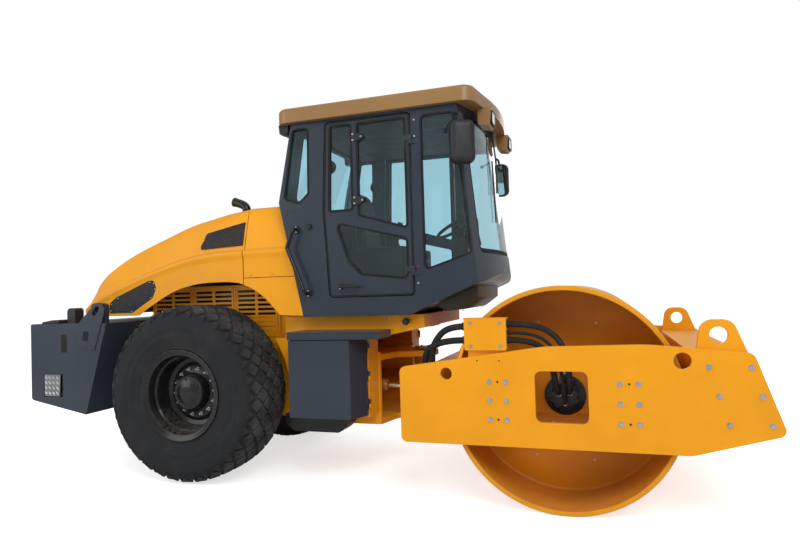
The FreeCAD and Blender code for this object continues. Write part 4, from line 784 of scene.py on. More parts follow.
def cut_through(piece, outlines, plane, low, high):
    """Cuts flat outlines through a piece and keeps its materials."""
    cutter_shape = Shape()
    for outline in outlines:
        cutter_shape.prism(plane, outline, low, high)
    bmesh.ops.recalc_face_normals(cutter_shape.mesh, faces=cutter_shape.mesh.faces)
    data = bpy.data.meshes.new("Cutter")
    cutter_shape.mesh.to_mesh(data)
    cutter_shape.mesh.free()
    cutter = bpy.data.objects.new("Cutter", data)
    bpy.context.scene.collection.objects.link(cutter)
    change = piece.modifiers.new("Cut", "BOOLEAN")
    change.operation = "DIFFERENCE"
    change.solver = "EXACT"
    change.object = cutter
    apply_changes(piece)
    bpy.data.objects.remove(cutter)


def dress(node, material):
    """Gives a CAD node a finish."""
    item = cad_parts[node]
    item.data.materials.clear()
    item.data.materials.append(material)


def smooth_line(route, name):
    """The points of a smooth line that a route's points steer."""
    curve = bpy.data.curves.new(name, "CURVE")
    curve.dimensions = "3D"
    curve.resolution_u = 24
    spline = curve.splines.new("NURBS")
    spline.points.add(len(route) - 1)
    for point, place in zip(spline.points, route):
        point.co = (*place, 1.0)
    spline.order_u = 3
    spline.use_endpoint_u = True
    holder = bpy.data.objects.new(name, curve)
    bpy.context.scene.collection.objects.link(holder)
    bpy.context.view_layer.update()
    data = bpy.data.meshes.new_from_object(holder)
    points = [v.co.copy() for v in data.vertices]
    bpy.data.meshes.remove(data)
    bpy.data.objects.remove(holder)
    bpy.data.curves.remove(curve)
    return points


def even_steps(points, step):
    """Points at even distances along a line."""
    lengths = [0.0]
    for i in range(1, len(points)):
        lengths.append(lengths[-1] + (points[i] - points[i - 1]).length)
    count = max(2, round(lengths[-1] / step))
    result = []
    index = 0
    for k in range(count + 1):
        want = lengths[-1] * k / count
        while index < len(points) - 2 and lengths[index + 1] < want:
            index += 1
        gap = lengths[index + 1] - lengths[index]
        share = (want - lengths[index]) / gap if gap > 0 else 0.0
        result.append(points[index].lerp(points[index + 1], min(1.0, share)))
    return result


# Drum

DRUM_WEB = DRUM_HALF - 0.470


def drum_shape(steps):
    """The rolled shell with its open ends, end discs and hubs."""
    shape = Shape()
    outer, inner = 0.800, 0.765
    profile = [
        (DRUM_HALF - 0.004, outer - 0.0005), (DRUM_HALF, outer - 0.005), (DRUM_HALF, inner + 0.004),
        (DRUM_HALF - 0.004, inner), (DRUM_WEB + 0.012, inner), (DRUM_WEB, inner - 0.014),
        (DRUM_WEB, 0.330), (DRUM_WEB + 0.012, 0.320), (DRUM_WEB + 0.012, 0.215),
        (DRUM_WEB + 0.034, 0.200), (DRUM_WEB + 0.040, 0.180), (DRUM_WEB + 0.040, 0.0605)]
    for way in (1, -1):
        points = [(along * way, radius) for along, radius in profile]
        # Slot 1, from the shell's inside over the end discs to the hubs, takes the darker drum
        # paint: painted shade.
        slots = [0, 0, 1] + [1] * (len(points) - 4)
        shape.revolve(points, (DRUM_X, 0, DRUM_Z), steps, slots)
    shape.revolve([(-DRUM_HALF + 0.004, outer - 0.0005), (-DRUM_HALF + 0.05, outer),
                   (DRUM_HALF - 0.05, outer), (DRUM_HALF - 0.004, outer - 0.0005)],
                  (DRUM_X, 0, DRUM_Z), steps)
    bmesh.ops.remove_doubles(shape.mesh, verts=shape.mesh.verts, dist=1e-5)
    return shape


class ROLLER_OT_drum(bpy.types.Operator):
    """Builds the smooth drum with its end discs and their bolts"""

    bl_idname = "roller.drum"
    bl_label = "Drum"

    def execute(self, context):
        sizes = context.scene.roller_sizes
        paint = finishes()
        drum_shape(sizes.drum_steps).become(
            "drum_body", [paint["drum"], paint["drum_shaded"]], "drum", "drum_paint", ["drum"], 40)
        bolts = Shape()
        for _, sign in SIDES:
            for count, radius, place, start in ((12, 0.010, 0.268, 8), (8, 0.008, 0.560, 20),
                                                (6, 0.007, 0.440, 40)):
                level = DRUM_WEB + (0.012 if place < 0.3 else 0.0)
                for angle in angles(count, start):
                    bolts.bolt(about_axis(DRUM_X, DRUM_Z, place, angle, sign * level),
                               (0, sign, 0), radius)
        bolts.become("drum_end_bolts", [paint["zinc"]], "drum", "drum_paint")
        return {"FINISHED"}


# Front frame

PAD_COLUMNS = (-0.493, -0.376, 0.378, 0.494)
PAD_ROWS = (0.935, 0.802, 0.670)
NOSE_BOLTS = ((0.916, 1.052), (1.156, 1.051), (0.969, 0.870), (1.210, 0.870), (1.021, 0.689),
              (1.258, 0.693))
BOX_BOLTS = ((1.133, 1.350), (1.344, 1.350), (1.133, 1.186), (1.344, 1.186))


class ROLLER_OT_front_frame(bpy.types.Operator):
    """Paints the front frame and adds its bolts, dowels, cover flange and motor fittings"""

    bl_idname = "roller.front_frame"
    bl_label = "Front frame"

    def execute(self, context):
        sizes = context.scene.roller_sizes
        paint = finishes()
        for node in ("side_plate_right", "side_plate_left", "lifting_ears", "hose_box",
                     "front_beam"):
            dress(node, paint["machine"])
        # The beam, mounts and scrapers behind the drum take the darker drum paint: painted shade.
        for node in ("rear_beam", "drum_mount_right", "drum_mount_left", "drum_scrapers"):
            dress(node, paint["drum_shaded"])
        for node in ("drum_motor_right", "drum_motor_left"):
            dress(node, paint["black"])
        for side, sign in SIDES:
            bolts = Shape()
            out = (0, sign, 0)
            for column in PAD_COLUMNS:
                for row in PAD_ROWS:
                    bolts.bolt((DRUM_X + column, sign * PLATE_FACE, row), out, sizes.plate_bolt,
                               0, column * 9 + row * 5)
            for along, high in NOSE_BOLTS:
                bolts.bolt((DRUM_X + along, sign * PLATE_FACE, high), out, sizes.plate_bolt, 0,
                           along * 7)
            for columns in (PAD_COLUMNS[:2], PAD_COLUMNS[2:]):
                for row in (PAD_ROWS[0], PAD_ROWS[2]):
                    middle = DRUM_X + sum(columns) / 2
                    bolts.rod((middle, sign * (PLATE_FACE - 0.004), row),
                              (middle, sign * (PLATE_FACE + 0.0006), row), 0.008, 14, 1)
            for along in (1.174, 1.332):
                bolts.rod((along, sign * (PLATE_FACE - 0.004), 1.083),
                          (along, sign * (PLATE_FACE + 0.0006), 1.083), 0.006, 14, 1)
            bolts.become("side_plate_bolts_" + side, [paint["zinc"], paint["seal"]], FRONT,
                         "yellow_paint")
        cover = Shape()
        for along, high in BOX_BOLTS:
            cover.bolt((along, -PLATE_FACE, high), (0, -1, 0), 0.013)
        cover.become("hose_box_bolts", [paint["zinc"]], FRONT, "yellow_paint")
        flange = Shape()
        flange.prism("side", rectangle(1.080, 1.376, 1.395, 1.386, 0.004),
                     -PLATE_FACE + 0.004, -PLATE_FACE + 0.078)
        flange.prism("side", [(1.020, 1.060), (1.046, 1.060), (1.100, 1.240), (1.088, 1.262)],
                     -1.125, -1.117)
        flange.become("hose_box_flange", [paint["machine"]], FRONT, "yellow_paint")
        motors = Shape()
        for _, sign in SIDES:
            for angle in angles(12):
                motors.bolt(about_axis(DRUM_X, MOTOR_Z, 0.128, angle, sign * 0.722),
                            (0, sign, 0), 0.010, 1)
            for shift in (-0.038, 0.045):
                spot = (DRUM_X + shift, sign * 0.790, MOTOR_Z + 0.085)
                motors.rod(spot, (spot[0], spot[1], spot[2] + 0.05), 0.017, 6)
                motors.rod((spot[0], spot[1], spot[2] + 0.05), (spot[0], spot[1], spot[2] + 0.11),
                           0.013, 14)
        motors.become("motor_fittings", [paint["zinc"], paint["black"]], FRONT, "black_metal")
        cogs = Shape()
        for _, sign in SIDES:
            for angle in angles(12, 15):
                cogs.rod(about_axis(DRUM_X, MOTOR_Z, 0.088, angle, sign * 0.735),
                         about_axis(DRUM_X, MOTOR_Z, 0.088, angle, sign * 0.816), 0.014, 10)
        cogs.become("motor_cover_ribs", [paint["black"]], FRONT, "black_metal")
        return {"FINISHED"}


# Each hose's diameter and the points of its route.
HOSES = [
    (0.044, [(1.388, -1.104, 1.338), (1.590, -1.104, 1.338), (1.745, -1.092, 1.240),
             (1.800, -1.092, 1.080), (1.800, -1.040, 0.930), (1.790, -0.930, 0.822),
             (1.790, -0.812, 0.822)]),
    (0.044, [(1.388, -1.104, 1.225), (1.560, -1.104, 1.225), (1.670, -1.092, 1.130),
             (1.700, -1.075, 0.980), (1.712, -0.950, 0.815), (1.712, -0.812, 0.815)]),
    (0.024, [(1.388, -1.112, 1.278), (1.560, -1.112, 1.278), (1.700, -1.108, 1.190),
             (1.755, -1.100, 1.040), (1.755, -0.950, 0.735), (1.755, -0.812, 0.735)]),
    (0.050, [(1.087, -1.108, 1.325), (0.950, -1.108, 1.325), (0.840, -1.078, 1.200),
             (0.820, -1.060, 1.110), (0.820, -1.060, 1.000)]),
    (0.050, [(1.087, -1.108, 1.225), (0.950, -1.108, 1.225), (0.800, -1.068, 1.170),
             (0.760, -1.050, 1.090), (0.760, -1.050, 1.000)]),
]


class ROLLER_OT_hoses(bpy.types.Operator):
    """Runs the ribbed hoses from their cover box to the drum motor and the frame"""

    bl_idname = "roller.hoses"
    bl_label = "Hoses"

    def execute(self, context):
        rib = context.scene.roller_sizes.hose_rib
        paint = finishes()
        for index, (width, route) in enumerate(HOSES):
            line = even_steps(smooth_line(route, "Hose line"), rib / 4)
            ribbed = width > 0.02
            swell = []
            for i in range(len(line)):
                wave = 0.5 + 0.5 * math.cos(math.pi * i / 2)
                swell.append(1.0 - 0.10 * wave if ribbed else 0.97)
            shape = Shape()
            shape.tube(line, width / 2, 14, 0, swell)
            shape.become("hose_%d" % index, [paint["hose"]], FRONT, "hose_rubber",
                         ["drum_hoses"], 60)
        ends = Shape()
        for width, route in HOSES:
            start = Vector(route[0])
            ahead = (Vector(route[1]) - start).normalized()
            ends.rod(start - ahead * 0.002, start + ahead * 0.018, width * 0.60, 18, 1)
            tip = Vector(route[-1])
            inward = (Vector(route[-2]) - tip).normalized()
            ends.rod(tip, tip + inward * 0.045, width * 0.56, 6)
        ends.become("hose_ferrules", [paint["zinc"], paint["hose"]], FRONT, "hose_rubber")
        return {"FINISHED"}


# Articulation and chassis


class ROLLER_OT_chassis(bpy.types.Operator):
    """Paints the chassis, its joint and the steering cylinders, the joint and barrels in painted
    shade, and adds their fastenings
    """

    bl_idname = "roller.chassis"
    bl_label = "Chassis"

    def execute(self, context):
        paint = finishes()
        for node in ("chassis", "side_frames", "cab_deck", "side_grilles", "rear_axle"):
            dress(node, paint["machine"])
        # The joint and the steering barrels take the darker joint paint: painted shade.
        dress("knuckle", paint["joint"])
        for side, _ in SIDES:
            dress("steer_barrel_" + side, paint["joint"])
            dress("steer_rod_" + side, paint["chrome"])
        for node in ("under_trays", "engine_block"):
            dress(node, paint["black"])
        knob = Shape()
        for _, sign in SIDES:
            knob.rod((0.505, sign * 0.640, 1.345), (0.505, sign * 0.700, 1.345), 0.016, 14)
            knob.rod((0.505, sign * 0.700, 1.345), (0.505, sign * 0.732, 1.345), 0.030, 20, 0, 0.8)
            knob.screw((0.340, sign * 0.640, 1.372), (0, sign, 0), 0.008, 1)
        knob.become("deck_knobs", [paint["moulding"], paint["zinc"]], REAR, "black_plastic")
        # The pin caps take the joint's painted shade too.
        pin = Shape()
        for level, way in ((1.060, 1), (0.440, -1)):
            out = (0, 0, way)
            pin.rod((STEER_X, 0, level), (STEER_X, 0, level + way * 0.016), 0.085, 28)
            for angle in angles(6):
                pin.bolt((STEER_X + 0.062 * math.cos(angle), 0.062 * math.sin(angle),
                          level + way * 0.016), out, 0.012, 1)
        pin.become("steering_pin_caps", [paint["joint"], paint["zinc"]], REAR, "yellow_paint")
        seams = Shape()
        for _, sign in SIDES:
            for i in range(3):
                left = -2.180 + 0.465 * i
                outline = [(left + 0.004, 1.214), (left + 0.461, 1.214), (left + 0.461, 1.696),
                           (left + 0.004, 1.696)]
                start = sign * 0.5100
                seams.band_ring("side", outline, 0.016, start, start + sign * 0.006)
                for along in (left + 0.030, left + 0.435):
                    for high in (1.240, 1.670):
                        seams.screw((along, start + sign * 0.006, high), (0, sign, 0), 0.006, 1)
        seams.become("grille_frames", [paint["machine"], paint["zinc"]], REAR, "yellow_paint")
        return {"FINISHED"}


# Tyres

# Crown of a tyre from the middle of the tread to the sidewall: (across, radius).
CROWN = [(0.000, 0.765), (0.110, 0.763), (0.190, 0.757), (0.232, 0.744), (0.262, 0.722),
         (0.279, 0.692), (0.284, 0.655)]


def crown_at(distance):
    """A point of the crown and its outward direction, at a distance along it."""
    sign = -1 if distance < 0 else 1
    left = abs(distance)
    for i in range(len(CROWN) - 1):
        a = Vector(CROWN[i])
        b = Vector(CROWN[i + 1])
        step = (b - a).length
        if left <= step or i == len(CROWN) - 2:
            along = (b - a).normalized()
            spot = a + along * left
            out = Vector((-along.y, along.x))
            if out.y < 0:
                out = -out
            return Vector((spot.x * sign, spot.y)), Vector((out.x * sign, out.y))
        left -= step
    raise RuntimeError("the crown has no length")


def carcass_profile(depth):
    """The tyre without its blocks, from the inner bead over the tread to the outer bead."""
    outer = []
    for i in range(15):
        spot, out = crown_at(0.34 * i / 14)
        sunk = depth * max(0.0, min(1.0, (14 - i) / 3.0))
        outer.append((spot.x - out.x * sunk, spot.y - out.y * sunk))
    wall = [(0.2855, 0.620), (0.285, 0.585), (0.2862, 0.580), (0.2862, 0.572), (0.2845, 0.567),
            (0.280, 0.520), (0.2815, 0.515), (0.2815, 0.507), (0.279, 0.502), (0.272, 0.450),
            (0.262, 0.412), (0.266, 0.406), (0.266, 0.398), (0.252, 0.388), (0.244, 0.372),
            (0.244, 0.345)]
    half = outer + wall
    return [(-p[0], p[1]) for p in reversed(half)] + half[1:]


# Rows of blocks: place along the crown, size across, size round, half-pitch shift.
ROWS = [(0.0775 * row, 0.116, 0.116, 0.5 * (row % 2)) for row in range(-3, 4)]
ROWS += [(0.306, 0.088, 0.100, 0.0), (-0.306, 0.088, 0.100, 0.0)]
# A diamond block with blunt corners, in shares of its sizes round and across.
BLOCK = [(0.47, 0.06), (0.06, 0.47), (-0.06, 0.47), (-0.47, 0.06), (-0.47, -0.06),
         (-0.06, -0.47), (0.06, -0.47), (0.47, -0.06)]


def tread_blocks(shape, middle, sizes):
    """The blocks of one tyre, laid over its crown."""
    pitch = 2 * math.pi / sizes.tread_pitches
    for place, across, around, shift in ROWS:
        for k in range(sizes.tread_pitches):
            centre_angle = (k + shift) * pitch
            rings = []
            for sink, share in ((sizes.tread_depth + 0.004, 1.10), (0.004, 1.0), (0.0, 0.93)):
                ring = []
                for u, v in BLOCK:
                    spot, out = crown_at(place + across * v * share)
                    radius = spot.y - out.y * sink
                    side = spot.x - out.x * sink
                    angle = centre_angle + around * u * share / CROWN[0][1]
                    ring.append(about_axis(AXLE_X, AXLE_Z, radius, angle, middle + side))
                rings.append(shape.ring(ring))
            shape.skin(rings[0], rings[1])
            shape.skin(rings[1], rings[2])
            shape.cap(rings[2])


# The rim from its inner flange to the hub's cap: (outwards from the middle, radius).
RIM_PROFILE = [
    (-0.263, 0.316), (-0.263, 0.380), (-0.245, 0.384), (-0.240, 0.345), (0.238, 0.345),
    (0.243, 0.368), (0.262, 0.388), (0.270, 0.392), (0.276, 0.388), (0.274, 0.378),
    (0.262, 0.366), (0.256, 0.340), (0.240, 0.330), (0.180, 0.326), (0.168, 0.312),
    (0.060, 0.306), (0.034, 0.296), (0.022, 0.262), (0.040, 0.236), (0.050, 0.228),
    (0.050, 0.172), (0.056, 0.160), (0.090, 0.156), (0.100, 0.150), (0.140, 0.148),
    (0.152, 0.138), (0.154, 0.100), (0.160, 0.092), (0.166, 0.040), (0.166, 0.0)]


class ROLLER_OT_wheels(bpy.types.Operator):
    """Builds the two drive tyres with their block tread, and the dished rims with their nuts"""

    bl_idname = "roller.wheels"
    bl_label = "Wheels"

    def execute(self, context):
        sizes = context.scene.roller_sizes
        paint = finishes()
        for side, sign in SIDES:
            middle = (TYRE_OUTER - TYRE_HALF) * sign
            tyre = Shape()
            tyre.revolve(carcass_profile(sizes.tread_depth), (AXLE_X, middle, AXLE_Z), 120,
                         None, True)
            tread_blocks(tyre, middle, sizes)
            tyre.become("tread_tyre_" + side, [paint["tyre"]], "wheel_" + side, "tyre_rubber",
                        ["tyre_" + side], 38)
            rim = Shape()
            profile = [(along * sign, radius) for along, radius in RIM_PROFILE]
            rim.revolve(profile, (AXLE_X, middle, AXLE_Z), 96)
            back = [(-0.263, 0.316), (-0.020, 0.312), (-0.020, 0.110), (-0.200, 0.100),
                    (-0.200, 0.0755)]
            rim.revolve([(along * sign, radius) for along, radius in back],
                        (AXLE_X, middle, AXLE_Z), 64)
            rim.become("dished_rim_" + side, [paint["black"]], "wheel_" + side, "black_metal",
                       ["rim_" + side], 35)
            nuts = Shape()
            for angle in angles(14, 4):
                spot = about_axis(AXLE_X, AXLE_Z, 0.202, angle, middle + sign * 0.050)
                nuts.bolt(spot, (0, sign, 0), 0.0150, 0, angle)
                nuts.rod(spot, (spot[0], spot[1] + sign * 0.026, spot[2]), 0.007, 10)
            nuts.become("wheel_nuts_" + side, [paint["zinc"]], "wheel_" + side, "black_metal")
            hub = Shape()
            for angle in angles(12, 9):
                hub.bolt(about_axis(AXLE_X, AXLE_Z, 0.120, angle, middle + sign * 0.153),
                         (0, sign, 0), 0.010)
            hub.become("hub_bolts_" + side, [paint["black"]], "wheel_" + side, "black_metal")
        return {"FINISHED"}


# Hood

# Lines along the hood, each row (x, height) or (x, half width); the meshes are (x, z, radius).
TOP_LINE = [(-2.940, 1.546), (-2.833, 1.720), (-2.730, 1.802), (-2.527, 1.914), (-2.328, 2.014),
            (-2.134, 2.092), (-1.943, 2.159), (-1.757, 2.225), (-1.574, 2.280), (-1.396, 2.316),
            (-1.220, 2.351), (-0.960, 2.385)]
CREASE_LINE = [(-2.940, 1.470), (-2.717, 1.561), (-2.305, 1.728), (-1.969, 1.840),
               (-1.599, 1.939), (-1.268, 1.984), (-0.960, 1.990)]
ARCH_LINE = [(-2.168, 1.414), (-1.977, 1.526), (-1.721, 1.652), (-1.494, 1.710),
             (-1.275, 1.725), (-1.042, 1.714), (-0.897, 1.664), (-0.756, 1.570),
             (-0.610, 1.417)]
WIDTH_LINE = [(-2.940, 0.560), (-2.830, 0.700), (-2.600, 0.780), (-2.300, 0.780),
              (-0.960, 0.780)]
SHOULDER_LINE = [(-2.940, 0.470), (-2.830, 0.560), (-2.600, 0.640), (-2.250, 0.655),
                 (-0.960, 0.660)]
LOWER_MESH = [(-2.470, 1.465, 0.02), (-2.200, 1.465, 0.03), (-1.960, 1.600, 0.05),
              (-1.915, 1.690, 0.03), (-1.940, 1.765, 0.03), (-2.000, 1.765, 0.03),
              (-2.380, 1.620, 0.03), (-2.460, 1.560, 0.02)]
UPPER_MESH = [(-1.450, 2.030, 0.02), (-0.995, 2.046, 0.005), (-0.995, 2.262, 0.005),
              (-1.400, 2.180, 0.03)]


def hood_half(x, low, width, shoulder, crease, top):
    """Half a section of the hood from its lower edge to the middle, as (y, z)."""
    panel = width - 0.008
    fall = min(1.0, (crease - low) / 0.100)
    points = [(panel, low), (panel, crease - 0.080 * fall), (panel + 0.001, crease - 0.062 * fall),
              (width + 0.002, crease - 0.040 * fall), (width + 0.006, crease - 0.022 * fall),
              (width + 0.002, crease - 0.004), (width - 0.012, crease + 0.010),
              (width - 0.034, crease + 0.020)]
    foot = Vector((width - 0.034, crease + 0.020))
    head = Vector((shoulder + 0.004, top - 0.060))
    for step in (0.25, 0.5, 0.75, 1.0):
        spot = foot.lerp(head, step)
        points.append((spot.x, spot.y))
    points += [(shoulder - 0.006, top - 0.034), (shoulder - 0.026, top - 0.012),
               (shoulder - 0.060, top + 0.003), (shoulder * 0.6, top + 0.022),
               (shoulder * 0.3, top + 0.032), (0.0, top + 0.035)]
    return points


def hood_skin(stations, lean=None):
    """A shell over stations of (x, low, width, shoulder, crease, top)."""
    shape = Shape()
    rings = []
    for row in stations:
        half = hood_half(*row)
        whole = half + [(-y, z) for y, z in reversed(half[:-1])]
        spots = []
        for y, z in whole:
            x = row[0] if lean is None else lean(row[0], z)
            spots.append((x, y, z))
        rings.append(shape.ring(spots))
    for i in range(len(rings) - 1):
        shape.skin(rings[i], rings[i + 1], 0, False)
    return shape, rings


def thicken(piece, thickness):
    """Gives a skin its sheet thickness inwards."""
    change = piece.modifiers.new("Sheet", "SOLIDIFY")
    change.thickness = thickness
    change.offset = -1.0
    change.use_even_offset = True
    apply_changes(piece)


def cab_rear_at(z):
    """The cab's leaning rear wall at a height."""
    return -0.3856 - 0.21335 * (z - 1.400)


class ROLLER_OT_hood(bpy.types.Operator):
    """Shapes the engine hood with its lip, mesh windows and arch, and the collar behind the cab"""

    bl_idname = "roller.hood"
    bl_label = "Hood"

    def execute(self, context):
        steps = context.scene.roller_sizes.hood_steps
        paint = finishes()
        rear, front = -2.935, -0.976
        stations = []
        for i in range(steps + 1):
            x = rear + (front - rear) * (i / steps) ** 1.12
            crease = spread(CREASE_LINE, x)
            arch = spread(ARCH_LINE, x) if x > -2.150 else 0.0
            low = max(1.440, arch)
            stations.append((x, low, spread(WIDTH_LINE, x), spread(SHOULDER_LINE, x), crease,
                             spread(TOP_LINE, x)))
        first = stations[0]
        tucked = (first[0] - 0.010, first[1] + 0.004, first[2] - 0.030, first[3] - 0.030,
                  first[4] - 0.004, first[5] - 0.030)
        shape, rings = hood_skin([tucked] + stations)
        shape.cap(rings[0])
        hood = shape.become("hood_shell", [paint["machine"]], "hood", "yellow_paint", ["hood"])
        thicken(hood, SHEET)
        cut_through(hood, [rounded(LOWER_MESH), rounded(UPPER_MESH)], "side", -0.9, 0.9)
        dress("hood_grilles", paint["mesh"])
        screws = Shape()
        for _, sign in SIDES:
            for outline, level in ((LOWER_MESH, 0.7805), (UPPER_MESH, None)):
                edge = shrink(rounded(outline, 2), 0.014)
                for i, spot in enumerate(edge):
                    if i % 3:
                        continue
                    reach = level
                    if reach is None:
                        share = (spot.y - 2.0) / 0.33
                        reach = 0.740 - 0.078 * share
                    screws.screw((spot.x, sign * (reach - 0.012), spot.y), (0, sign, 0), 0.006)
        screws.become("mesh_screws", [paint["zinc"]], "hood", "black_metal")
        back = -0.964
        collar = []
        for share in (0.0, 0.25, 0.5, 0.75, 1.0):
            collar.append((share, 1.755, 0.786, 0.668, 1.992, 2.386))

        def toward_cab(share, z):
            return back + share * (cab_rear_at(z) - back)

        shape, _ = hood_skin(collar, toward_cab)
        band_piece = shape.become("collar_shell", [paint["machine"]], REAR, "yellow_paint",
                                  ["hood_collar"])
        thicken(band_piece, SHEET)
        lower = Shape()
        for _, sign in SIDES:
            outline = [(back, spread(ARCH_LINE, back))]
            for i in range(1, 13):
                x = back + (-0.612 - back) * i / 12
                outline.append((x, spread(ARCH_LINE, x)))
            outline += [(cab_rear_at(1.410), 1.410), (cab_rear_at(1.750), 1.750),
                        (back, 1.750)]
            lower.prism("side", outline, sign * 0.766, sign * 0.780)
            for along in (-0.892, -0.679):
                lower.screw((along, sign * 0.786, 1.778), (0, sign, 0), 0.008)
        lower.become("collar_lower_panels", [paint["machine"]], REAR, "yellow_paint")
        return {"FINISHED"}


class ROLLER_OT_exhaust(bpy.types.Operator):
    """Bends the exhaust stack, with its foot ring, tip ring and a dark disc in its mouth as painted
    shade
    """

    bl_idname = "roller.exhaust"
    bl_label = "Exhaust"

    def execute(self, context):
        paint = finishes()
        line = smooth_line([(STACK_X, STACK_Y, 2.250), (STACK_X, STACK_Y, 2.400),
                            (STACK_X, STACK_Y, 2.462), (-1.290, STACK_Y, 2.500),
                            (-1.360, STACK_Y, 2.520)], "Stack line")
        points = even_steps(line, 0.012)
        stack = Shape()
        stack.tube(points, 0.042, 28)
        tip = points[-1]
        ahead = (points[-1] - points[-2]).normalized()
        stack.rod(tip - ahead * 0.012, tip + ahead * 0.004, 0.0455, 28)
        # A dark disc closes the tip in place of the pipe's open inside: painted shade.
        stack.rod(tip + ahead * 0.0035, tip + ahead * 0.005, 0.037, 28, 1)
        stack.rod((STACK_X, STACK_Y, 2.345), (STACK_X, STACK_Y, 2.362), 0.062, 28)
        stack.become("exhaust_stack", [paint["black"], paint["seal"]], "hood", "black_metal",
                     ["exhaust"], 40)
        return {"FINISHED"}


# Cab

DOOR_PANES = {
    "rear": [(-0.118, 2.285, 0.02), (0.095, 2.285, 0.02), (0.095, 3.000, 0.02),
             (-0.095, 3.000, 0.02)],
    "front": [(0.150, 2.235, 0.02), (0.568, 2.110, 0.02), (0.568, 3.000, 0.02),
              (0.150, 3.000, 0.02)],
    "low": [(-0.060, 2.180, 0.03), (0.050, 1.850, 0.06), (0.160, 1.745, 0.04),
            (0.562, 1.700, 0.04), (0.562, 2.020, 0.04)],
}
FRONT_WINDOW = [(0.705, 1.760, 0.03), (1.085, 1.880, 0.03), (0.975, 3.000, 0.04),
                (0.705, 3.000, 0.04)]
QUARTER_WINDOW = [(-0.540, 2.420, 0.03), (-0.400, 2.375, 0.03), (-0.310, 2.450, 0.03),
                  (-0.300, 3.010, 0.03), (-0.445, 3.010, 0.03)]
DOOR_EDGE = [(-0.140, 1.555, 0.04), (0.620, 1.555, 0.04), (0.620, 3.045, 0.04),
             (-0.145, 3.045, 0.04), (-0.180, 2.300, 0.7)]


class ROLLER_OT_cab(bpy.types.Operator):
    """Paints the cab and adds its window and door seals, door fittings and screws"""

    bl_idname = "roller.cab"
    bl_label = "Cab"

    def execute(self, context):
        paint = finishes()
        for node in ("cab_frame", "cab_door_right", "cab_door_left"):
            dress(node, paint["slate"])
        for node in ("windscreen", "cab_side_glass", "door_glass_right", "door_glass_left"):
            dress(node, paint["glass"])
        dress("cab_roof", paint["roof"])
        dress("roof_lamps", paint["roof"])
        dress("rear_roof_lamps", paint["moulding"])
        dress("grab_rails", paint["black"])
        for side, sign in SIDES:
            face = sign * CAB_FACE
            seals = Shape()
            for outline in (FRONT_WINDOW, QUARTER_WINDOW):
                edge = shrink(rounded(outline), -0.008)
                seals.band_ring("side", edge, 0.015, face - sign * 0.014, face + sign * 0.004)
            seals.become("window_seals_" + side, [paint["seal"]], REAR, "slate_paint")
            gaskets = Shape()
            for outline in DOOR_PANES.values():
                edge = shrink(rounded(outline), -0.010)
                gaskets.band_ring("side", edge, 0.018, face - sign * 0.014, face + sign * 0.004)
            inset = shrink(rounded(DOOR_EDGE, 8), 0.009)
            gaskets.band_ring("side", inset, 0.012, face - sign * 0.004, face + sign * 0.0035)
            gaskets.become("door_seals_" + side, [paint["seal"]], "cab_door_" + side,
                           "slate_paint")
            fittings = Shape()
            for high in (2.885, 2.357):
                for along in (0.116, 0.152):
                    fittings.rod((along, face, high), (along, face + sign * 0.010, high), 0.017,
                                 14)
                plate = rounded([(0.104, high - 0.034, 0.01), (0.150, high - 0.036, 0.01),
                                 (0.206, high - 0.014, 0.01), (0.206, high + 0.016, 0.01),
                                 (0.150, high + 0.038, 0.01), (0.104, high + 0.036, 0.01)])
                fittings.prism("side", plate, face + sign * 0.004, face + sign * 0.012, 0, 0.003)
                for spot in ((0.118, high - 0.024), (0.118, high + 0.026), (0.190, high)):
                    fittings.screw((spot[0], face + sign * 0.012, spot[1]), (0, sign, 0), 0.009,
                                   1)
            fittings.prism("side", rectangle(-0.050, 1.622, -0.010, 1.668, 0.012), face,
                           face + sign * 0.012, 0, 0.003)
            fittings.tube([(-0.030, face + sign * 0.008, 1.645),
                           (-0.022, face + sign * 0.036, 1.647),
                           (0.060, face + sign * 0.044, 1.645),
                           (0.150, face + sign * 0.040, 1.640)], 0.010, 12)
            fittings.screw((-0.034, face + sign * 0.012, 1.630), (0, sign, 0), 0.007, 1)
            fittings.become("door_fittings_" + side, [paint["moulding"], paint["zinc"]],
                            "cab_door_" + side, "black_plastic")
            marks = Shape()
            for along, high, slot in ((0.650, 2.839, 0), (0.648, 1.786, 1), (0.646, 1.656, 0),
                                      (0.650, 2.972, 0)):
                marks.screw((along, face, high), (0, sign, 0), 0.009, slot)
            marks.rod((-0.308, face, 2.166), (-0.308, face + sign * 0.016, 2.166), 0.024, 18, 2)
            marks.rod((-0.308, face + sign * 0.016, 2.166), (-0.308, face + sign * 0.022, 2.166),
                      0.016, 18, 2)
            for spot in ((-0.430, 2.150), (-0.330, 1.600)):
                marks.rod((spot[0], face - sign * 0.002, spot[1]),
                          (spot[0], face + sign * 0.010, spot[1]), 0.034, 18, 2)
                for shift in (-0.022, 0.022):
                    marks.screw((spot[0], face + sign * 0.010, spot[1] + shift), (0, sign, 0),
                                0.006, 0)
            marks.become("cab_side_screws_" + side,
                         [paint["zinc"], paint["red_lens"], paint["moulding"]], REAR,
                         "slate_paint")
        return {"FINISHED"}


def screen_x(y, z):
    """The outer face of the curved windscreen."""
    low, side = 1.390, 0.768
    chord = 1.145 + (1.268 - 1.145) * (1 - (y / side) ** 2)
    return chord - 0.115 * (z - low) / (3.065 - 1.838)


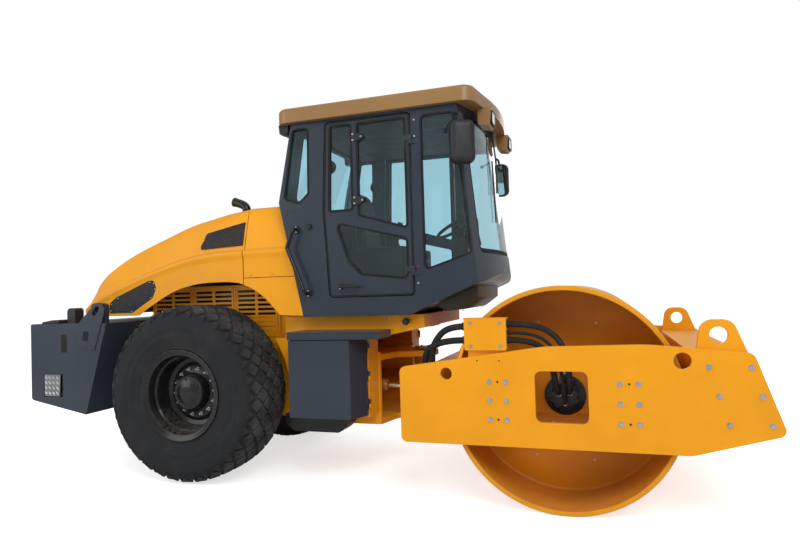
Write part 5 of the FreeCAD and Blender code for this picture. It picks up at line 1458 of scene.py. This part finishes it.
class ROLLER_OT_screen(bpy.types.Operator):
    """Adds the black edge of the windscreen and its wiper"""

    bl_idname = "roller.screen"
    bl_label = "Windscreen"

    def execute(self, context):
        paint = finishes()
        edge = Shape()
        outline = rounded([(-0.690, 1.880, 0.06), (0.690, 1.880, 0.06), (0.690, 3.010, 0.04),
                           (-0.690, 3.010, 0.04)], 6)
        points = []
        for i, spot in enumerate(outline):
            after = outline[(i + 1) % len(outline)]
            count = max(1, round((after - spot).length / 0.08))
            for k in range(count):
                points.append(spot.lerp(after, k / count))
        inner = shrink(points, 0.040)
        outer = shrink(points, -0.012)
        rings = []
        for line, shift in ((outer, -0.004), (outer, 0.005), (inner, 0.005), (inner, -0.002)):
            rings.append(edge.ring([(screen_x(p.x, p.y) + shift, p.x, p.y) for p in line]))
        for i in range(4):
            edge.skin(rings[i], rings[(i + 1) % 4])
        edge.become("screen_edge", [paint["seal"]], REAR, "cab_glass")
        wiper = Shape()
        arm = []
        for y, z, gap in ((0.0, 2.985, 0.030), (-0.080, 2.700, 0.045), (-0.180, 2.420, 0.040)):
            arm.append((screen_x(y, z) + gap, y, z))
        wiper.tube(arm, 0.008, 10)
        blade = []
        for i in range(9):
            z = 2.720 - 0.070 * i
            y = -0.105 - 0.018 * i
            blade.append((screen_x(y, z) + 0.016, y, z))
        wiper.tube(blade, 0.007, 8)
        wiper.rod((screen_x(0, 2.985) - 0.004, 0, 2.985), (screen_x(0, 2.985) + 0.045, 0, 2.985),
                  0.020, 16)
        wiper.become("wiper", [paint["moulding"]], REAR, "black_plastic")
        return {"FINISHED"}


# Depth of a mirror's shell behind its face and how far its outline is drawn in there.
MIRROR_BACK = ((-0.018, 0.014), (-0.022, 0.010), (-0.018, 0.0), (0.020, 0.0), (0.042, 0.010),
               (0.056, 0.032), (0.060, 0.050))


class ROLLER_OT_nose(bpy.types.Operator):
    """Hangs the dark moulded box under the cab's nose"""

    bl_idname = "roller.nose"
    bl_label = "Nose box"

    def execute(self, context):
        paint = finishes()
        box = Shape()
        box.prism("side", rounded([(0.700, 1.463, 0.010), (0.813, 1.419, 0.020),
                                   (0.945, 1.429, 0.020), (1.070, 1.521, 0.010),
                                   (1.074, 1.700, 0.005), (0.700, 1.500, 0.005)]), -0.500, 0.500)
        box.soften(0.012, 2)
        for y in (-0.440, 0.440):
            for x in (0.760, 0.930):
                box.screw((x, y, 1.421), (0, 0, -1), 0.010, 1)
        box.become("nose_box", [paint["olive"], paint["zinc"]], REAR, "black_plastic")
        return {"FINISHED"}


class ROLLER_OT_cab_trim(bpy.types.Operator):
    """Adds the lamp lenses, and the mirrors with their stays"""

    bl_idname = "roller.cab_trim"
    bl_label = "Cab trim"

    def execute(self, context):
        paint = finishes()
        lamps = Shape()
        for y in (-0.470, 0.470):
            lamps.prism("front", rectangle(y - 0.072, 2.942, y + 0.072, 3.040, 0.018),
                        1.225, 1.243, 0, 0.004)
            lamps.band_ring("front", rectangle(y - 0.082, 2.932, y + 0.082, 3.050, 0.022),
                            0.012, 1.222, 1.247, 1)
        for y in (-0.700, 0.700):
            lamps.prism("front", rectangle(y - 0.055, 2.995, y + 0.055, 3.050, 0.015),
                        -0.580, -0.590, 0, 0.002)
        lamps.become("lamp_lenses", [paint["lens"], paint["moulding"]], REAR, "black_plastic")
        for side, sign in SIDES:
            head = Shape()
            centre = Vector((1.064, sign * 0.895, 2.720))
            across = Vector((0.90, sign * -0.436, 0.0))
            back = Vector((0.436, sign * 0.90, 0.0))
            rings = []
            for depth, share in MIRROR_BACK:
                outline = rectangle(-0.098, -0.168, 0.098, 0.168, 0.055, 6)
                inset = shrink(outline, share)
                rings.append(head.ring([centre + across * p.x + back * depth
                                        + Vector((0, 0, p.y)) for p in inset]))
            for i in range(len(rings) - 1):
                head.skin(rings[i], rings[i + 1])
            head.cap(rings[0][::-1], 1)
            head.cap(rings[-1])
            line = smooth_line([(0.985, sign * 0.780, 2.960), (0.985, sign * 0.850, 2.962),
                                (1.040, sign * 0.900, 2.955), (1.064, sign * 0.905, 2.930),
                                (1.064, sign * 0.905, 2.860)], "Mirror stay")
            points = even_steps(line, 0.015)
            head.tube(points, 0.011, 12)
            head.rod((0.985, sign * 0.778, 2.960), (0.985, sign * 0.792, 2.960), 0.026, 18)
            head.rod((0.900, sign * 0.782, 2.860), (1.030, sign * 0.890, 2.945), 0.007, 10)
            head.rod((0.900, sign * 0.778, 2.860), (0.900, sign * 0.790, 2.860), 0.018, 14)
            head.become("mirror_head_" + side, [paint["moulding"], paint["mirror"]], REAR,
                        "black_plastic", ["mirror_" + side], 40)
        return {"FINISHED"}


class ROLLER_OT_interior(bpy.types.Operator):
    """Fits the driver's seat, console, levers and steering wheel"""

    bl_idname = "roller.interior"
    bl_label = "Cab interior"

    def execute(self, context):
        paint = finishes()
        dress("seat_base", paint["moulding"])
        dress("steering_column", paint["moulding"])
        pads = Shape()
        stations = [
            # x and z of the pad's middle, half width, half thickness
            (0.475, 1.848, 0.236, 0.030), (0.440, 1.868, 0.246, 0.056),
            (0.300, 1.864, 0.250, 0.060), (0.160, 1.858, 0.250, 0.056),
            (0.040, 1.862, 0.246, 0.054), (-0.045, 1.900, 0.244, 0.056),
            (-0.066, 2.020, 0.244, 0.054), (-0.085, 2.180, 0.240, 0.052),
            (-0.104, 2.330, 0.226, 0.048), (-0.118, 2.460, 0.190, 0.040),
            (-0.126, 2.535, 0.120, 0.024)]
        rings = []
        for i, (x, z, wide, thick) in enumerate(stations):
            before = stations[max(i - 1, 0)]
            after = stations[min(i + 1, len(stations) - 1)]
            along = Vector((after[0] - before[0], after[1] - before[1])).normalized()
            out = Vector((along.y, -along.x))
            if out.y < 0 and out.x < 0:
                out = -out
            ring = []
            for k in range(24):
                angle = 2 * math.pi * k / 24
                across = math.copysign(abs(math.cos(angle)) ** 0.35, math.cos(angle)) * wide
                lift = math.copysign(abs(math.sin(angle)) ** 0.6, math.sin(angle)) * thick
                dip = 0.012 * math.cos(math.pi * across / wide / 2) if lift > 0 else 0.0
                ring.append((x + out.x * (lift - dip), across, z + out.y * (lift - dip)))
            rings.append(pads.ring(ring))
        pads.closed_stack(rings)
        seat = pads.become("seat_pad", [paint["cloth"]], REAR, "seat_fabric",
                           ["seat_cushion"], 60)
        change = seat.modifiers.new("Round", "SUBSURF")
        change.levels = 1
        change.render_levels = 2
        console = Shape()
        for sign in (-1, 1):
            near, far = sorted((sign * 0.300, sign * 0.440))
            console.prism("front", rounded([(near, 1.447, 0.01), (far, 1.447, 0.01),
                                            (far, 1.990, 0.03), (near, 1.990, 0.03)]), 0.0, 0.42)
        console.soften(0.012, 2)
        console.tube([(0.330, -0.370, 1.985), (0.345, -0.370, 2.060), (0.362, -0.366, 2.140)],
                     0.013, 12)
        console.rod((0.356, -0.366, 2.120), (0.372, -0.364, 2.200), 0.024, 16)
        console.rod((0.960, 0.0, 1.985), (0.925, 0.0, 2.130), 0.060, 20)
        console.prism("front", rounded([(-0.150, 2.090, 0.03), (0.150, 2.090, 0.03),
                                        (0.150, 2.250, 0.05), (-0.150, 2.250, 0.05)]),
                      0.905, 0.965)
        console.become("driver_console", [paint["moulding"]], REAR, "black_plastic")
        lining = Shape()
        lining.prism("top", rectangle(-0.400, -0.700, 0.930, 0.700, 0.05), 3.020, 3.058)
        for sign in (-1, 1):
            lining.rod((-0.200, sign * 0.560, 2.705), (-0.200, sign * 0.600, 2.705), 0.060, 24)
            lining.tube([(-0.340, sign * 0.600, 2.450), (-0.240, sign * 0.590, 2.560),
                         (-0.200, sign * 0.580, 2.690)], 0.012, 10)
        lining.become("cab_lining", [paint["moulding"]], REAR, "black_plastic")
        return {"FINISHED"}


# Boxes and counterweight


class ROLLER_OT_boxes(bpy.types.Operator):
    """Finishes the storage boxes with their hinges and edge flanges"""

    bl_idname = "roller.boxes"
    bl_label = "Storage boxes"

    def execute(self, context):
        paint = finishes()
        for side, sign in SIDES:
            dress("storage_box_" + side, paint["slate"])
            dress("box_door_" + side, paint["slate"])
            hinges = Shape()
            for high in (1.135, 0.905, 0.675):
                outline = rectangle(0.150, high - 0.045, 0.176, high + 0.045, 0.006)
                hinges.prism("side", outline, sign * 0.741, sign * 0.748)
            hinges.become("box_hinge_leaves_" + side, [paint["black"]], REAR, "black_metal")
            flange = Shape()
            outline = [(-0.452, 1.219), (-0.395, 1.150), (-0.345, 1.060), (-0.305, 0.960),
                       (-0.292, 0.960), (-0.292, 1.219)]
            flange.prism("side", outline, sign * 0.905, sign * 0.917)
            flange.become("box_flanges_" + side, [paint["slate"]], REAR, "slate_paint")
        return {"FINISHED"}


class ROLLER_OT_counterweight(bpy.types.Operator):
    """Finishes the counterweight with its checker plate steps, caps and lamps"""

    bl_idname = "roller.counterweight"
    bl_label = "Counterweight"

    def execute(self, context):
        paint = finishes()
        dress("counterweight", paint["slate"])
        dress("tie_down_lugs", paint["slate"])
        dress("rear_lamps", paint["moulding"])
        for side, sign in SIDES:
            step = Shape()
            level = sign * (WEIGHT_FACE - 0.060)
            step.prism("side", [(-2.930, 0.716), (-2.740, 0.716), (-2.740, 0.929),
                                (-2.930, 0.929)], level, level + sign * 0.004)
            outer = sign * (WEIGHT_FACE - 0.002)
            studs, stud_long, stud_wide, tilt = 4, 0.019, 0.008, 0.8
            step.prism("side", rounded([(-2.922, 0.722, 0.004), (-2.742, 0.722, 0.004),
                                        (-2.732, 0.922, 0.004), (-2.922, 0.922, 0.004)]),
                       outer - sign * 0.006, outer)
            for row in range(studs):
                for column in range(studs):
                    x = -2.902 + column * 0.045
                    z = 0.752 + row * 0.047
                    outline = []
                    for angle in angles(10):
                        u = stud_long * math.cos(angle)
                        v = stud_wide * math.sin(angle)
                        outline.append((x + u * math.cos(tilt) + v * math.sin(tilt),
                                        z - u * math.sin(tilt) + v * math.cos(tilt)))
                    step.prism("side", outline, outer, outer + sign * 0.004, 1, 0.0015)
            step.become("checker_step_" + side, [paint["checker"], paint["chrome"]], REAR,
                        "slate_paint")
            lug = Shape()
            lug.prism("side", rounded([(-2.533, 1.184, 0.01), (-2.323, 1.141, 0.01),
                                       (-2.240, 1.380, 0.02), (-2.198, 1.500, 0.04),
                                       (-2.235, 1.578, 0.03), (-2.300, 1.572, 0.03),
                                       (-2.494, 1.397, 0.02)]),
                      sign * (WEIGHT_FACE - 0.006), sign * (WEIGHT_FACE + 0.009), 0, 0.002)
            plate = lug.become("lug_plate_" + side, [paint["slate"]], REAR, "slate_paint")
            low, high = sorted((sign * 1.0, sign * 1.2))
            cut_through(plate, [rounded([(-2.352, 1.474, 0.022), (-2.312, 1.448, 0.022),
                                         (-2.244, 1.526, 0.022), (-2.284, 1.556, 0.022)])],
                        "side", low, high)
            # A thin black sheet on the lug stands for its recess: painted shade.
            recess_shade_sheet = Shape()
            recess_shade_sheet.prism("side", rounded([(-2.455, 1.238, 0.01), (-2.395, 1.226, 0.01),
                                        (-2.378, 1.312, 0.01), (-2.438, 1.324, 0.01)]),
                       sign * (WEIGHT_FACE + 0.008), sign * (WEIGHT_FACE + 0.010))
            recess_shade_sheet.become("lug_recess_shade_" + side, [paint["seal"]], REAR, "slate_paint")
            slot = Shape()
            slot.prism("side", rectangle(-2.712, 1.127, -2.650, 1.290, 0.003),
                       sign * (WEIGHT_FACE - 0.002), sign * (WEIGHT_FACE + 0.002))
            slot.become("blank_plate_" + side, [paint["seal"]], REAR, "slate_paint")
            cap = Shape()
            cap.prism("side", rounded([(-2.990, 1.388, 0.004), (-2.780, 1.388, 0.004),
                                       (-2.780, 1.420, 0.014), (-2.860, 1.424, 0.014),
                                       (-2.990, 1.406, 0.014)]), sign * 0.860, sign * 1.060)
            cap.soften(0.006, 2)
            cap.become("weight_cap_" + side, [paint["moulding"]], REAR, "black_plastic")
            lens = Shape()
            near, far = sorted((sign * 0.910, sign * 0.990))
            lens.prism("front", rectangle(near, 1.420, far, 1.515, 0.012),
                       -2.744, -2.750, 0, 0.002)
            lens.become("rear_lens_" + side, [paint["red_lens"]], REAR, "black_plastic")
        return {"FINISHED"}


# Stage


class ROLLER_OT_stage(bpy.types.Operator):
    """Lays the pale floor and sets the lamps, world and camera"""

    bl_idname = "roller.stage"
    bl_label = "Stage"

    def execute(self, context):
        scene = context.scene
        scene.view_settings.view_transform = "Standard"
        scene.camera = make_camera()
        make_world(scene)
        make_floor()
        for name, place, energy, width, aim in (
                ("Key", (4.5, -7.0, 7.5), 430.0, 5.0, (0.0, 0.0, 1.2)),
                ("Fill", (-6.5, -6.0, 4.0), 170.0, 5.0, (-0.8, 0.0, 1.2)),
                ("Back", (0.0, 7.5, 6.0), 180.0, 6.0, (0.0, 0.0, 1.5))):
            lamp = bpy.data.lights.new(name, "AREA")
            lamp.energy = energy
            lamp.size = width
            holder = bpy.data.objects.new(name, lamp)
            holder.location = place
            holder.rotation_euler = (Vector(aim) - Vector(place)).to_track_quat(
                "-Z", "Y").to_euler()
            holder.visible_transmission = False
            holder.visible_camera = False
            scene.collection.objects.link(holder)
        return {"FINISHED"}


def make_camera():
    """The camera that saw the roller, for a picture 800 pixels wide and 555 high."""
    data = bpy.data.cameras.new("Camera")
    data.sensor_fit = "HORIZONTAL"
    sensor, picture_width, focal_pixels, centre_column = 36.0, 800.0, 597.45, 405.37
    data.sensor_width = sensor
    data.lens = focal_pixels * sensor / picture_width
    data.shift_x = (picture_width / 2 - centre_column) / picture_width
    data.clip_end = 200.0
    holder = bpy.data.objects.new("Camera", data)
    right = Vector((0.950, 0.3106, -0.0307)).normalized()
    ahead = Vector((-0.310, 0.9505, 0.0236)).normalized()
    up = right.cross(ahead).normalized()
    right = ahead.cross(up).normalized()
    turn = Matrix((right, up, -ahead)).transposed()
    eye = (2.031, -5.357, 1.590)
    holder.matrix_world = Matrix.Translation(eye) @ turn.to_4x4()
    bpy.context.scene.collection.objects.link(holder)
    return holder


def make_world(scene):
    """An even pale sky that shows as white to the camera and through glass."""
    world = bpy.data.worlds.new("Studio")
    world.use_nodes = True
    tree = world.node_tree
    shine = tree.nodes["Background"]
    shine.inputs["Color"].default_value = (1.0, 1.0, 1.0, 1.0)
    path = tree.nodes.new("ShaderNodeLightPath")
    seen = math_node(tree, "MAXIMUM", path.outputs["Is Camera Ray"],
                     path.outputs["Is Transmission Ray"])
    tree.links.new(band(tree, seen, 0.0, 1.0, 0.50, 1.0), shine.inputs["Strength"])
    scene.world = world


def make_floor():
    """A wide pale floor that keeps the roller's shadow."""
    material, tree, shader = principled("Pale floor")
    if tree is not None:
        shader.inputs["Base Color"].default_value = (0.88, 0.88, 0.88, 1.0)
        shader.inputs["Roughness"].default_value = 0.9
        shader.inputs["Specular IOR Level"].default_value = 0.1
        shader.inputs["Emission Color"].default_value = (1.0, 1.0, 1.0, 1.0)
        path = tree.nodes.new("ShaderNodeLightPath")
        tree.links.new(math_node(tree, "MULTIPLY", path.outputs["Is Camera Ray"], 0.66),
                       shader.inputs["Emission Strength"])
    shape = Shape()
    half = 60
    shape.cap(shape.ring([(-half, -half, 0), (half, -half, 0), (half, half, 0),
                          (-half, half, 0)]))
    data = bpy.data.meshes.new("Floor")
    shape.mesh.to_mesh(data)
    shape.mesh.free()
    data.materials.append(material)
    floor = bpy.data.objects.new("Floor", data)
    bpy.context.scene.collection.objects.link(floor)


class ROLLER_PT_panel(bpy.types.Panel):
    """The roller's pieces, one button each"""

    bl_idname = "ROLLER_PT_panel"
    bl_label = "Vibratory roller"
    bl_space_type = "VIEW_3D"
    bl_region_type = "UI"
    bl_category = "Roller"

    def draw(self, context):
        layout = self.layout
        for group in (context.scene.roller_sizes, context.scene.roller_colours):
            box = layout.box()
            for name in group.bl_rna.properties.keys():
                if name not in ("name", "rna_type"):
                    box.prop(group, name)
        for operator in OPERATORS:
            layout.operator(operator.bl_idname)


OPERATORS = (
    ROLLER_OT_stage, ROLLER_OT_hoses, ROLLER_OT_drum, ROLLER_OT_front_frame, ROLLER_OT_chassis,
    ROLLER_OT_wheels, ROLLER_OT_hood, ROLLER_OT_exhaust, ROLLER_OT_cab, ROLLER_OT_screen,
    ROLLER_OT_nose, ROLLER_OT_cab_trim, ROLLER_OT_interior, ROLLER_OT_boxes,
    ROLLER_OT_counterweight)
CLASSES = (RollerSizes, RollerColours) + OPERATORS + (ROLLER_PT_panel,)


def register():
    for item in CLASSES:
        bpy.utils.register_class(item)
    bpy.types.Scene.roller_sizes = PointerProperty(type=RollerSizes)
    bpy.types.Scene.roller_colours = PointerProperty(type=RollerColours)


def unregister():
    del bpy.types.Scene.roller_colours
    del bpy.types.Scene.roller_sizes
    for item in reversed(CLASSES):
        bpy.utils.unregister_class(item)


def main():
    """Builds everything."""
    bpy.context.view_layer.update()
    register()
    for operator in OPERATORS:
        group, name = operator.bl_idname.split(".")
        getattr(getattr(bpy.ops, group), name)()


if __name__ == "__main__":
    main()
